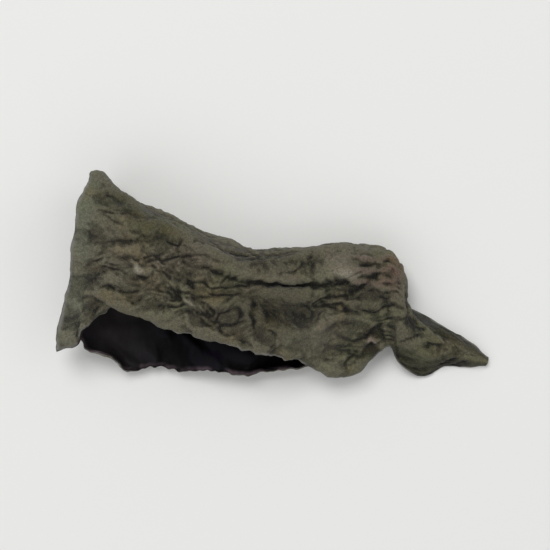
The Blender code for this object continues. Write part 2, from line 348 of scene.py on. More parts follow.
@dataclass(frozen=True)
class Mark:
    """One bump, ledge, groove or pit: a bell shape, stretched and turned on the flat sheet, in mm."""

    height: float
    along: float
    across: float
    length: float
    breadth: float
    turn: float = 0.0

    def at(self, along: Array, across: Array) -> Array:
        """The mark's height: an exponential of minus the square of the stretched distance.

        Args:
            along: Distance along the flat sheet, in mm.
            across: Distance across the flat sheet, in mm.

        Returns:
            The mark's full height in its middle, falling off to 0 around it as a bell does.
        """
        x, y = along - self.along, across - self.across
        lengthwise = (x * np.cos(self.turn) + y * np.sin(self.turn)) / self.length
        crosswise = (y * np.cos(self.turn) - x * np.sin(self.turn)) / self.breadth
        return self.height * np.exp(-(lengthwise**2 + crosswise**2))


def bent(height: float, along: float, across: float, breadth: float) -> tuple[Mark, Mark]:
    """A stripe that bends with the shoulder of the fold: two marks, end to end.

    Args:
        height: How far the stripe stands out, in mm.
        along: The bend's distance from the cut end on the flat sheet, in mm.
        across: The bend's distance from the crest, in mm.
        breadth: The marks' half breadth, in mm.

    Returns:
        The mark on the free side of the bend, and the turned one on the cut end's side.
    """
    free = Mark(height, along + STRIPE_STEP, across, STRIPE_LENGTH, breadth)
    cut = Mark(height, along - STRIPE_STEP, across + STRIPE_STEP, STRIPE_LENGTH, breadth, STRIPE_TURN)
    return free, cut


@dataclass(frozen=True)
class Sheet:
    """The middle of the fruit body's wall: folded on three lines, rolled at its margins and crumpled.

    The knots are (station, x, y, z) in mm, and the layers of noise are (height, length along, length
    across, seed).
    """

    # The flat sheet's length and the wall's thickness, in mm, and where the tough cut end stops.
    length: float = 58.0
    wall_body: float = 1.2
    wall_margin: float = 0.7
    wall_root: float = 1.2
    wall_run: float = 6.0
    root_stations: tuple[float, float] = (0.04, 0.16)
    # The lines that carry the fold: its crest, the edges of the flaps, and half the gap between them.
    crest: Knots = (
        (0.00, 29.2, -10.7, 1.6),
        (0.07, 25.2, -8.9, 3.0),
        (0.14, 20.7, -6.5, 4.2),
        (0.19, 17.6, -2.9, 4.9),
        (0.23, 17.2, 0.8, 5.0),
        (0.27, 15.8, 3.6, 5.1),
        (0.35, 10.4, 4.9, 5.5),
        (0.44, 4.2, 4.7, 5.8),
        (0.54, -1.6, 4.4, 6.5),
        (0.62, -6.4, 5.1, 6.9),
        (0.73, -12.6, 8.0, 7.1),
        (0.85, -18.8, 10.9, 7.3),
        (1.00, -24.1, 14.7, 7.6),
    )
    front_edge: Knots = (
        (0.00, 29.0, -11.2, 0.9),
        (0.08, 23.9, -11.1, 0.9),
        (0.16, 19.1, -12.5, 2.0),
        (0.19, 16.8, -10.9, 3.4),
        (0.22, 15.7, -8.9, 5.0),
        (0.27, 13.0, -10.0, 5.3),
        (0.31, 10.9, -12.1, 5.1),
        (0.36, 8.2, -12.8, 5.6),
        (0.42, 5.6, -11.7, 6.6),
        (0.52, -0.2, -9.3, 9.6),
        (0.63, -7.2, -7.5, 11.0),
        (0.78, -16.2, -5.3, 11.8),
        (0.90, -22.8, -4.7, 10.6),
        (0.95, -25.4, -5.5, 9.2),
        (0.98, -26.7, -8.0, 7.4),
        (1.00, -29.4, -9.0, 6.0),
    )
    back_edge: Knots = (
        (0.00, 29.3, -10.3, 0.9),
        (0.08, 25.2, -7.2, 0.9),
        (0.15, 20.5, -4.2, 1.2),
        (0.21, 16.7, -2.9, 1.4),
        (0.30, 12.5, -8.2, 2.0),
        (0.42, 5.8, -11.2, 2.6),
        (0.53, -1.5, -12.3, 3.8),
        (0.63, -7.5, -12.1, 4.8),
        (0.74, -14.0, -11.5, 3.0),
        (0.84, -19.6, -11.1, 3.2),
        (0.93, -24.6, -10.0, 4.2),
        (1.00, -27.0, -6.4, 3.2),
    )
    half_gap: Knots = (
        (0.00, 0.0),
        (0.10, 0.1),
        (0.18, 1.5),
        (0.25, 3.2),
        (0.34, 3.9),
        (0.46, 4.0),
        (0.56, 4.7),
        (0.74, 6.1),
        (1.00, 6.6),
    )
    # How the sheet bends over the crest, and how a flap leaves its level for the height of its edge.
    crest_bend: float = 0.20
    fold_stations: tuple[float, float] = (0.08, 0.28)
    edge_turn: tuple[float, float, float] = (0.25, 1.05, 1.3)
    margin_bulge: float = 0.6
    margin_bulge_power: int = 6
    # How the grid widens from the cut end, and the share of half the gap in a flap's flat width.
    tip_share: float = 0.06
    wide_station: float = 0.34
    widening: float = 0.8
    crest_share: float = 0.9
    # The rolled margins: radius and lengths in mm, and where the rolls start, stop and peak.
    roll_radius: float = 1.5
    roll_longest: float = 3.0
    roll_side: float = 1.4
    roll_end: float = 1.0
    roll_stations: tuple[float, float] = (0.16, 0.36)
    corner_reach: tuple[float, float] = (0.75, 0.98)
    lip_roll: float = 0.8
    lip_station: float = 0.89
    lip_spread: float = 0.03
    # The widest swells, and how far the wrinkles drift.
    swells: Layers = ((0.8, 13.0, 10.0, 8),)
    drift_along: Layers = ((2.2, 10.0, 10.0, 11), (0.8, 4.5, 4.5, 13))
    drift_across: Layers = ((2.2, 10.0, 10.0, 12), (0.8, 4.5, 4.5, 14))
    # The lobes, waves and uneven rolls of the side margins and of the end margin.
    side_lobes: Layers = ((1.0, 6.5, 1.0, 21), (0.6, 3.1, 1.0, 22))
    end_lobes: Layers = ((0.2, 6.5, 1.0, 25), (0.15, 3.0, 1.0, 26))
    side_waves: Layers = ((1.1, 5.0, 14.0, 23), (0.5, 2.9, 12.0, 24))
    end_waves: Layers = ((0.3, 5.5, 14.0, 27), (0.15, 2.9, 12.0, 28))
    side_rolls: Layers = ((1.5, 8.0, 1.0, 31),)
    end_rolls: Layers = ((0.5, 9.0, 1.0, 33),)
    # Which line of the noise each flap's margin follows, how wavy it is, and where waves stand.
    front_line: float = 0.37
    back_line: float = 7.37
    front_waviness: float = 0.4
    back_waviness: float = 0.45
    wave_reach: tuple[float, float] = (0.45, 1.0)
    wave_stations: tuple[float, float] = (0.10, 0.30)
    end_stations: tuple[float, float] = (0.78, 1.0)
    # The folds, and how strong the relief is along the sheet.
    fold_height: float = 0.3
    fold_slope: float = 3.2
    fold_noise: Layers = ((1.0, 12.0, 7.0, 3),)
    relief_least: float = 0.40
    relief_stations: tuple[float, float] = (0.08, 0.45)
    # The shrinkage ridges and the patches that they stand in.
    ridges: Network = Network(spacing=5.6, lengthwise=0.15, seed=1, square=96.0, cells=160, finer=4)
    ridge_height: float = 0.55
    ridge_level: float = 0.35
    ridge_sharpness: float = 1.2
    ridge_patches: Layers = ((1.0, 11.0, 9.0, 42),)
    ridge_patch_least: float = 0.3
    ridge_patch_range: tuple[float, float] = (-0.3, 0.3)
    # The largest single marks: the ledge with its groove, a bump, and two slanting grooves.
    marks: tuple[Mark, ...] = (
        Mark(0.6, 28.6, -5.7, 7.0, 1.3, 0.06),
        Mark(-0.7, 28.6, -7.8, 7.0, 0.9, 0.06),
        Mark(0.5, 21.5, -5.2, 1.8, 1.6),
        Mark(-0.6, 50.0, -9.5, 2.8, 0.8, -0.58),
        Mark(-0.5, 41.0, -4.8, 2.2, 0.8, -0.42),
    )
    # How far the whole sheet is moved, in mm, and the small step that directions are taken over.
    place: tuple[float, float, float] = (0.04, -1.21, -1.0)
    step: float = 1e-3

    def places(self, along_share: Array, across_share: Array) -> tuple[Array, Array]:
        """Station and reach of grid places: rows start further out the further they lie from the crest.

        Args:
            along_share: Shares of 0 to 1 along the grid.
            across_share: Shares of -1 to 1 across the grid.

        Returns:
            The stations and the reaches.
        """
        off_crest = np.clip((np.abs(across_share) - self.tip_share) / (1 - self.tip_share), 0, 1)
        start = self.wide_station * off_crest**self.widening
        station = start + (1 - start) * along_share
        opened = np.clip(station / self.wide_station, 0, 1) ** (1 / self.widening)
        width = self.tip_share + (1 - self.tip_share) * opened
        return station, np.clip(across_share / width, -1, 1)

    def carrying_lines(self, station: Array, reach: Array) -> tuple[Array, Array, Array]:
        """The three lines that carry the fold, each read at the places' stations.

        Args:
            station: Stations of the places.
            reach: Reaches of the places.

        Returns:
            The crest's point, the point on the edge of the place's own flap, and half the gap between
            the flaps, in mm.
        """
        front = (reach < 0)[..., None]
        edge = np.where(front, along_line(self.front_edge, station), along_line(self.back_edge, station))
        return along_line(self.crest, station), edge, along_line(self.half_gap, station)[..., 0]

    def folded(self, station: Array, reach: Array) -> Array:
        """The plain folded sheet: a hyperbola round the crest that runs out to the edge of each flap.

        On plan a point moves from the crest to the edge with the hyperbola's share, and its height is
        the crest's, plus or minus half the gap, eased towards the height of the edge.

        Args:
            station: Stations of the places.
            reach: Reaches of the places.

        Returns:
            Points in mm.
        """
        crest, edge, half = self.carrying_lines(station, reach)
        out = np.abs(reach)
        whole = np.sqrt(1 + self.crest_bend**2)
        bent = (np.sqrt(out**2 + self.crest_bend**2) - self.crest_bend) / (whole - self.crest_bend)
        share = out + (bent - out) * eased(*self.fold_stations, station)
        plan = crest[..., :2] + (edge[..., :2] - crest[..., :2]) * share[..., None]
        side = np.where(reach < 0, 1.0, -1.0)
        level = crest[..., 2] + side * half * out / np.sqrt(out**2 + self.crest_bend**2) * whole
        turn_from, turn_to, turn_power = self.edge_turn
        drop = edge[..., 2] - crest[..., 2] - side * half
        height = level + drop * eased(turn_from, turn_to, out) ** turn_power
        bulge = self.margin_bulge * np.sin(np.pi * out) * station**self.margin_bulge_power
        return np.stack([plan[..., 0] - bulge, plan[..., 1], height], -1)

    def flat(self, station: Array, reach: Array) -> tuple[Array, Array, Array]:
        """The sheet laid flat: stations times its length, and reaches times the width of the flap.

        Args:
            station: Stations of the places.
            reach: Reaches of the places.

        Returns:
            Distances along and across the flat sheet, and the flap's width there, in mm.
        """
        crest, edge, half = self.carrying_lines(station, reach)
        width = np.linalg.norm((edge - crest)[..., :2], axis=-1) + self.crest_share * half
        return self.length * station, reach * width, width

    def inset(self, station: Array, reach: Array) -> Array:
        """How far a place lies in from the nearest margin, in mm."""
        _, _, width = self.flat(station, reach)
        return np.minimum((1 - np.abs(reach)) * width, (1 - station) * self.length)

    def directions(self, surface: Surface, station: Array, reach: Array) -> tuple[Array, Array, Array]:
        """Which way a surface runs, from small steps on it.

        Args:
            surface: The function that gives the surface's points.
            station: Stations of the places.
            reach: Reaches of the places.

        Returns:
            Unit vectors along the surface, across it and out of its outer side.
        """
        step = self.step
        along = unit(surface(station + step, reach) - surface(station - step, reach))
        across = unit(surface(station, reach + step) - surface(station, reach - step))
        return along, across, unit(np.cross(across, along))

    def near_side(self, station: Array, reach: Array) -> Array:
        """How wavy a place is for lying near a flap's margin: the front flap's is the straighter one."""
        flap = np.where(reach < 0, self.front_waviness, self.back_waviness)
        return flap * eased(*self.wave_reach, np.abs(reach)) * eased(*self.wave_stations, station)

    def rolled(self, station: Array, reach: Array) -> Array:
        """The folded sheet with lobed margins that roll inwards: its last mm follow an arc.

        A point that lies nearer to the margin than the roll is long is turned by that difference over
        the roll's radius, so it moves back by the arc's shortening and down by its height.

        Args:
            station: Stations of the places.
            reach: Reaches of the places.

        Returns:
            Points in mm.
        """
        along, across, width = self.flat(station, reach)
        toward_end, toward_back, outer = self.directions(self.folded, station, reach)
        toward_side = toward_back * np.where(reach < 0, -1.0, 1.0)[..., None]
        line = np.where(reach < 0, self.front_line, self.back_line)
        end_line = np.full_like(across, self.front_line)
        near_side = self.near_side(station, reach)
        near_end = eased(*self.end_stations, station)
        lip_distance = (station - self.lip_station) / self.lip_spread
        lip = self.lip_roll * np.exp(-(lip_distance**2)) * (reach < 0)
        side_roll = self.roll_side + layered(along, line, self.side_rolls) + lip
        end_roll = self.roll_end + layered(across, end_line, self.end_rolls)
        points = self.folded(station, reach)
        for distance, roll, lobe, toward in (
            (
                (1 - np.abs(reach)) * width,
                side_roll * eased(*self.roll_stations, station),
                near_side * layered(along, line, self.side_lobes),
                toward_side,
            ),
            (
                (1 - station) * self.length,
                end_roll * (1 - eased(*self.corner_reach, np.abs(reach))),
                near_end * layered(across, end_line, self.end_lobes),
                toward_end,
            ),
        ):
            turned = np.maximum(np.clip(roll, 0, self.roll_longest) - distance, 0)
            angle = turned / self.roll_radius
            points = points + toward * (self.roll_radius * np.sin(angle) - turned + lobe)[..., None]
            points = points - outer * (self.roll_radius * (1 - np.cos(angle)))[..., None]
        return points

    def drifted(self, station: Array, reach: Array) -> tuple[Array, Array]:
        """Flat places in mm, moved about by noise so that the wrinkles wander."""
        along, across, _ = self.flat(station, reach)
        return moved(along, across, self.drift_along, self.drift_across)

    def strength(self, station: Array) -> Array:
        """How strong the relief is: weaker on the narrow, tougher end."""
        return self.relief_least + (1 - self.relief_least) * eased(*self.relief_stations, station)

    def ridge_patch(self, station: Array, reach: Array) -> Array:
        """How strong the shrinkage ridges are: patches of the sheet stayed flatter than others.

        Args:
            station: Stations of the places.
            reach: Reaches of the places.

        Returns:
            Shares, from the least one up to 1.
        """
        along, across, _ = self.flat(station, reach)
        patch = eased(*self.ridge_patch_range, layered(along, across, self.ridge_patches))
        return self.ridge_patch_least + (1 - self.ridge_patch_least) * patch

    def crumple(self, station: Array, reach: Array) -> Array:
        """How far the sheet stands off its rolled form: swells, folds, ridges, marks and waves.

        A fold is sharp on top: its height falls off with the distance of a layer of noise from 0.

        Args:
            station: Stations of the places.
            reach: Reaches of the places.

        Returns:
            Heights in mm.
        """
        along, across, _ = self.flat(station, reach)
        drifted_along, drifted_across = self.drifted(station, reach)
        swell = layered(drifted_along, drifted_across, self.swells)
        wander = np.abs(layered(drifted_along, drifted_across, self.fold_noise))
        fold = self.fold_height * (1 - self.fold_slope * wander)
        network = self.ridges.crests(drifted_along, drifted_across, self.ridge_sharpness)
        ridge = self.ridge_height * self.ridge_patch(station, reach) * (network - self.ridge_level)
        flap_start = np.where(reach < 0, 0.0, self.length)
        wave = self.near_side(station, reach) * layered(along + flap_start, across, self.side_waves)
        wave = wave + eased(*self.end_stations, station) * layered(across, along, self.end_waves)
        marks = sum(mark.at(along, across) for mark in self.marks)
        return self.strength(station) * (swell + fold + ridge) + marks + wave

    def wall(self, station: Array, reach: Array) -> Array:
        """The sheet's thickness: thin at its free margins and full everywhere else, eased between.

        Args:
            station: Stations of the places.
            reach: Reaches of the places.

        Returns:
            Thicknesses in mm.
        """
        wide = eased(*self.root_stations, station)
        margin = eased(0.0, self.wall_run, self.inset(station, reach))
        body = self.wall_margin + (self.wall_body - self.wall_margin) * margin
        return self.wall_root + (body - self.wall_root) * wide

    def middle(self, station: Array, reach: Array) -> Array:
        """The middle of the wall where it lies: the rolled form, moved out by the crumple.

        Args:
            station: Stations of the places.
            reach: Reaches of the places.

        Returns:
            Points in mm.
        """
        _, _, outer = self.directions(self.rolled, station, reach)
        height = self.crumple(station, reach)[..., None]
        return self.rolled(station, reach) + outer * height + np.array(self.place)


@dataclass(frozen=True)
class Wrinkles:
    """The fine relief of the two sides, in mm off the wall: lumps, wrinkles, creases, pits and grain.

    The patterns are flat. Each is read from above, from the front and from the end, and the three
    readings are blended by how much the wall faces each way, so that none is stretched on a steep part.
    """

    # How the flat patterns are read from three sides, and how far they wander.
    ridge_sharpness: float = 1.9
    facing_power: float = 4.0
    side_offsets: tuple[float, float] = (31.0, 57.0)
    wander_along: Layers = ((0.9, 5.0, 5.0, 51), (0.35, 2.0, 2.0, 53))
    wander_across: Layers = ((0.9, 5.0, 5.0, 52), (0.35, 2.0, 2.0, 54))
    # The lumps and the soft unevenness, and where both are calmer.
    lumps: Layers = (
        (0.26, 4.6, 2.6, 81),
        (0.20, 2.2, 1.4, 82),
        (0.15, 1.15, 0.85, 83),
        (0.09, 0.62, 0.50, 87),
    )
    lump_level: float = 0.5
    soft: Layers = ((0.18, 3.0, 2.2, 84), (0.08, 0.7, 0.5, 85))
    calm: Layers = ((1.0, 8.0, 5.0, 86),)
    calm_least: float = 0.45
    calm_range: tuple[float, float] = (-0.35, 0.25)
    # Three finer networks of wrinkles, and the patches that the wider two stand in.
    coarse: Network = Network(spacing=2.9, lengthwise=0.04, seed=5)
    small: Network = Network(spacing=1.2, lengthwise=0.06, seed=7, cells=400)
    tiny: Network = Network(spacing=0.70, lengthwise=0.04, seed=9, square=48.0, cells=480)
    coarse_height: float = 0.18
    coarse_sharpness: float = 1.6
    crest_level: float = 0.55
    small_height: float = 0.06
    tiny_height: float = 0.025
    patches: Layers = ((1.0, 7.0, 5.0, 41),)
    patch_range: tuple[float, float] = (-0.15, 0.45)
    small_patches: Layers = ((1.0, 5.0, 4.0, 43),)
    # The creases: each noise has its length, breadth and seed, and a second noise gates it.
    crease_depth: float = 0.24
    crease_breadth: float = 0.10
    crease_noise: tuple[tuple[float, float, int], ...] = ((7.0, 2.2, 61), (5.0, 2.8, 62), (9.0, 2.5, 63))
    crease_gate: tuple[float, float] = (4.0, 3.0)
    gate_seed_step: int = 10
    crease_range: tuple[float, float] = (0.05, 0.35)
    # The scattered pits and bumps: how many, how deep, how wide, and over which half lengths.
    pit_count: int = 260
    pit_seed: int = 71
    pit_depth: tuple[float, float] = (-0.14, 0.24)
    pit_radius: tuple[float, float] = (0.22, 0.50)
    pit_box: tuple[float, float] = (30.0, 16.0)
    details: tuple[Mark, ...] = (
        # The light dot, the dark dots and the small pale lump of the front flap.
        Mark(0.62, 47.5, -12.6, 0.80, 0.62),
        Mark(-0.36, 46.9, -13.5, 0.55, 0.42),
        Mark(-0.30, 51.3, -17.2, 0.60, 0.45),
        Mark(-0.28, 40.6, -11.1, 0.55, 0.45),
        Mark(0.42, 40.7, -14.0, 0.85, 0.60),
        Mark(-0.36, 42.0, -13.6, 0.45, 0.65),
        # The ledge below the crest and the arch at its end.
        Mark(-0.42, 28.6, -7.5, 6.00, 0.45, 0.06),
        Mark(0.22, 28.6, -6.6, 5.60, 0.50, 0.06),
        Mark(-0.42, 21.3, -7.5, 1.20, 0.42, 0.50),
        Mark(-0.42, 19.2, -8.1, 1.70, 0.42, -0.85),
        Mark(0.22, 20.6, -6.4, 1.60, 0.50, 0.10),
        # The stripes that bend with the shoulder, and the grooves between them.
        *bent(0.20, 17.8, -4.10, 0.42),
        *bent(-0.26, 17.7, -4.95, 0.34),
        *bent(0.20, 17.6, -5.80, 0.42),
        *bent(-0.26, 17.5, -6.60, 0.34),
        *bent(0.20, 17.4, -7.40, 0.42),
        # The curl above the neck.
        Mark(0.50, 16.5, -15.1, 1.50, 0.48, -0.66),
        Mark(-0.45, 16.3, -14.0, 2.20, 0.42, -0.66),
        Mark(-0.40, 16.3, -16.3, 2.00, 0.45, -0.66),
        # Folds across the front flap's middle, and short ones near its crest.
        Mark(0.20, 33.6, -11.8, 0.40, 2.00),
        Mark(-0.22, 32.9, -11.9, 0.35, 1.90),
        Mark(0.20, 32.2, -12.0, 0.40, 1.80),
        Mark(-0.22, 31.2, -12.1, 0.60, 0.50),
        Mark(0.20, 21.6, -10.6, 2.00, 0.42, 0.31),
        Mark(-0.28, 21.3, -11.5, 2.00, 0.36, 0.31),
        Mark(0.20, 50.2, -11.2, 2.60, 0.50, -0.58),
        Mark(0.22, 50.6, -6.6, 1.60, 0.45, 0.50),
        # Wrinkles across the shoulder's end.
        Mark(-0.22, 16.6, 0.6, 0.30, 2.40, 0.15),
        Mark(0.18, 15.9, 1.4, 0.40, 2.60, 0.10),
        Mark(-0.24, 15.1, 0.4, 0.28, 3.00, -0.10),
        Mark(0.18, 14.4, 1.8, 0.38, 2.60),
        Mark(-0.22, 13.6, 1.2, 0.30, 2.40, 0.10),
        Mark(-0.20, 19.6, 4.8, 2.20, 0.34, 0.20),
    )
    # Where the felt is smoother.
    calm_spots: tuple[Mark, ...] = (
        Mark(0.60, 59.0, -14.0, 3.4, 18.0),
        Mark(0.45, 24.5, -15.5, 3.5, 2.2),
        Mark(0.60, 21.9, -5.4, 1.8, 1.4),
        Mark(0.50, 28.0, -9.8, 3.0, 1.2),
    )
    # How far the noise breaks up the edges of the single marks.
    break_along: Layers = ((0.45, 1.7, 1.7, 101), (0.20, 0.7, 0.7, 103))
    break_across: Layers = ((0.45, 1.7, 1.7, 102), (0.20, 0.7, 0.7, 104))
    # The inner side's wrinkles and creases.
    inner_height: float = 0.08
    inner_small_height: float = 0.02
    inner_creases: float = 0.10
    # The papery margins: how much relief is left there, their crinkles and their nicks.
    margin_least: float = 0.65
    margin_run: float = 0.9
    crinkles: Layers = ((0.26, 1.9, 30.0, 91), (0.13, 1.05, 30.0, 92))
    crinkle_run: float = 2.4
    crinkle_stations: tuple[float, float] = (0.24, 0.42)
    nicks: Layers = ((0.30, 1.5, 1.0, 95), (0.22, 0.8, 1.0, 96))
    nick_run: float = 1.4

    def from_three_sides(self, pattern: Surface, places: Array, facing: Array) -> Array:
        """Reads a flat pattern from three sides and blends the readings.

        Args:
            pattern: The height of the pattern at two coordinates, in mm.
            places: Points in mm.
            facing: The wall's unit vectors out.

        Returns:
            The heights, weighted by the facing vector's parts raised to a power and made to add up to 1.
        """
        share = np.abs(facing) ** self.facing_power
        share = share / share.sum(axis=-1, keepdims=True)
        x, y, z = np.moveaxis(places, -1, 0)
        front, end = self.side_offsets
        readings = (pattern(y + end, z), pattern(x + front, z + front), pattern(x, y))
        return sum(share[..., axis] * reading for axis, reading in enumerate(readings))

    def creases(self, along: Array, across: Array) -> Array:
        """Short sharp grooves: each follows the zero line of a stretched noise where a second one is high.

        Args:
            along: Distance along the flat sheet, in mm.
            across: Distance across the flat sheet, in mm.

        Returns:
            1 in the middle of a groove, falling off to 0 beside it as a bell does.
        """
        deepest = np.zeros_like(along)
        gate_length, gate_breadth = self.crease_gate
        for length, breadth, seed in self.crease_noise:
            off_line = noise(along / length, across / breadth, seed) / self.crease_breadth
            gate = noise(along / gate_length, across / gate_breadth, seed + self.gate_seed_step)
            deepest = np.maximum(deepest, np.exp(-(off_line**2)) * eased(*self.crease_range, gate))
        return deepest

    def pits(self, along: Array, across: Array) -> Array:
        """Small round pits and a few small round bumps, each a bell at a place drawn at random.

        Args:
            along: Distance along the flat sheet, in mm.
            across: Distance across the flat sheet, in mm.

        Returns:
            Heights in mm, below 0 in the pits.
        """
        random = np.random.RandomState(self.pit_seed)
        length, breadth = self.pit_box
        total = np.zeros_like(along)
        for _ in range(self.pit_count):
            at_along, at_across = random.uniform(-length, length), random.uniform(-breadth, breadth)
            depth, radius = random.uniform(*self.pit_depth), random.uniform(*self.pit_radius)
            distance = ((along - at_along) ** 2 + (across - at_across) ** 2) / radius**2
            total = total - depth * np.exp(-distance)
        return total

    def felt(self, along: Array, across: Array) -> Array:
        """The outer side's pattern: lumps between sharp valleys, wrinkles, creases, pits and grain.

        A lump is the distance of a layer of noise from zero, so its valleys are sharp and its top is
        round. Wrinkles of the two wider spacings only stand in patches.

        Args:
            along: Distance along the flat sheet, in mm.
            across: Distance across the flat sheet, in mm.

        Returns:
            Heights in mm.
        """
        x, y = moved(along, across, self.wander_along, self.wander_across)
        total = layered(x, y, self.soft)
        for height, length, breadth, seed in self.lumps:
            total = total + height * (np.abs(noise(x / length, y / breadth, seed)) - self.lump_level)
        calm = eased(*self.calm_range, layered(along, across, self.calm))
        total = total * (self.calm_least + (1 - self.calm_least) * calm)
        patch = eased(*self.patch_range, layered(along, across, self.patches))
        small_patch = eased(*self.patch_range, layered(along, across, self.small_patches))
        coarse = self.coarse.crests(x, y, self.coarse_sharpness) - self.crest_level
        total = total + patch * self.coarse_height * coarse
        total = total + small_patch * self.small_height * self.small.at(x, y)
        total = total + self.tiny_height * self.tiny.at(x, y)
        return total - self.crease_depth * self.creases(x, y) + self.pits(along, across)

    def outer(self, sheet: Sheet, station: Array, reach: Array, places: Array, facing: Array) -> Array:
        """Relief of the outer side: the sheet's own ridges made sharper, and the felt's pattern.

        Args:
            sheet: The sheet that carries the relief.
            station: Stations of the places.
            reach: Reaches of the places.
            places: The middle of the wall there, in mm.
            facing: The wall's unit vectors out.

        Returns:
            Heights in mm off the wall's own surface.
        """
        drifted_along, drifted_across = sheet.drifted(station, reach)
        wide = sheet.ridges.crests(drifted_along, drifted_across, sheet.ridge_sharpness)
        narrow = sheet.ridges.crests(drifted_along, drifted_across, self.ridge_sharpness)
        sharper = sheet.ridge_height * sheet.ridge_patch(station, reach) * (narrow - wide)
        total = sharper * sheet.strength(station) + self.from_three_sides(self.felt, places, facing)
        along, across, _ = sheet.flat(station, reach)
        calm = np.clip(sum(spot.at(along, across) for spot in self.calm_spots), 0, 1)
        total = total * (1 - calm) + self.single_marks(along, across)
        near_margin = eased(0.0, self.margin_run, sheet.inset(station, reach))
        return total * (self.margin_least + (1 - self.margin_least) * near_margin)

    def single_marks(self, along: Array, across: Array) -> Array:
        """The outer side's single ledges, grooves, dots and pits, in mm, their edges broken by noise."""
        x, y = moved(along, across, self.break_along, self.break_across)
        return sum(mark.at(x, y) for mark in self.details)

    def crinkled(self, sheet: Sheet, station: Array, reach: Array) -> tuple[Array, Array]:
        """How the papery margins wave: noise along each margin that fades out inwards.

        Args:
            sheet: The sheet whose margins wave.
            station: Stations of the places.
            reach: Reaches of the places.

        Returns:
            How far each place moves out of the wall, and how far it moves in the sheet, away from the
            crest where it is positive, in mm.
        """
        along, across, width = sheet.flat(station, reach)
        flap = np.where(reach < 0, 0.0, sheet.length)
        side, end = (1 - np.abs(reach)) * width, (1 - station) * sheet.length
        tough = eased(*self.crinkle_stations, station)
        near_side = tough * (1 - eased(0.0, self.crinkle_run, side))
        near_end = 1 - eased(0.0, self.crinkle_run, end)
        out = near_side * layered(along + flap, across, self.crinkles)
        out = out + near_end * layered(across, along, self.crinkles)
        nick = layered(along + flap, np.zeros_like(along), self.nicks)
        return out, tough * (1 - eased(0.0, self.nick_run, side)) * nick

    def smooth_skin(self, along: Array, across: Array) -> Array:
        """The inner side's pattern: low soft wrinkles and a few creases, which run across the outer ones.

        Args:
            along: Distance along the flat sheet, in mm.
            across: Distance across the flat sheet, in mm.

        Returns:
            Heights in mm, of 0 or less but for the small wrinkles.
        """
        x, y = moved(across, along, self.wander_along, self.wander_across)
        low = self.inner_height * (self.coarse.at(x, y) - 1) + self.inner_small_height * self.small.at(x, y)
        return low - self.inner_creases * self.creases(x, y)

    def inner(self, sheet: Sheet, station: Array, reach: Array, places: Array, facing: Array) -> Array:
        """Relief of the inner side, faded out towards the margins, in mm."""
        total = self.from_three_sides(self.smooth_skin, places, facing)
        return total * eased(0.0, self.margin_run, sheet.inset(station, reach))


@dataclass(frozen=True)
class SkinGrid:
    """The grid of one side of the wall: its rows and columns, and its first point's number in the mesh."""

    rows: int
    columns: int
    start: int

    @property
    def stop(self) -> int:
        """The number in the mesh that follows the grid's last point."""
        return self.start + self.rows * self.columns

    @property
    def index(self) -> Indices:
        """The number in the mesh of each grid point."""
        return np.arange(self.start, self.stop).reshape(self.rows, self.columns)

    def quads(self, flip: bool) -> Indices:
        """The grid's four-sided faces, one for each cell.

        Args:
            flip: Whether the faces are turned over.

        Returns:
            Rows of four point numbers.
        """
        at = self.index
        faces = np.stack([at[:-1, :-1], at[1:, :-1], at[1:, 1:], at[:-1, 1:]], -1).reshape(-1, 4)
        return faces[:, ::-1] if flip else faces


def border(values: npt.NDArray) -> npt.NDArray:
    """A grid's border, once round: out along the front, over the free margin, back and along the start."""
    return np.concatenate([values[:-1, 0], values[-1, :-1], values[:0:-1, -1], values[0, :0:-1]])


def band(upper: Indices, lower: Indices) -> Indices:
    """The four-sided faces between two closed rings of the same count."""
    return np.stack([upper, lower, np.roll(lower, -1), np.roll(upper, -1)], -1)


def stitch(fine: Indices, coarse: Indices) -> Indices:
    """The three-sided faces between two closed rings, of which one has half as many points.

    Args:
        fine: The point numbers of the ring with more points.
        coarse: Those of the other ring.

    Returns:
        Rows of three point numbers.
    """
    even, odd, after = fine[COARSE], fine[1:][COARSE], np.roll(fine[COARSE], -1)
    coarse_after = np.roll(coarse, -1)
    corners = (even, coarse, odd), (odd, coarse, coarse_after), (odd, coarse_after, after)
    return np.concatenate([np.stack(three, -1) for three in corners])


def in_mesh_order(fine: Array, coarse: Array) -> Array:
    """Values of the outer grid, the inner grid and the three rim rings, as the mesh's points follow."""
    rim = border(fine)
    return np.concatenate([fine.ravel(), coarse.ravel(), rim, rim, rim[COARSE]])


@dataclass(frozen=True)
class Zone:
    """A tint of a side: bell shapes on the flat sheet, in mm, cut off at full strength."""

    stored: Stored
    marks: tuple[Mark, ...]

    def at(self, along: Array, across: Array) -> Array:
        """How strong the tint is, from 0 to 1."""
        return np.clip(sum(mark.at(along, across) for mark in self.marks), 0, 1)


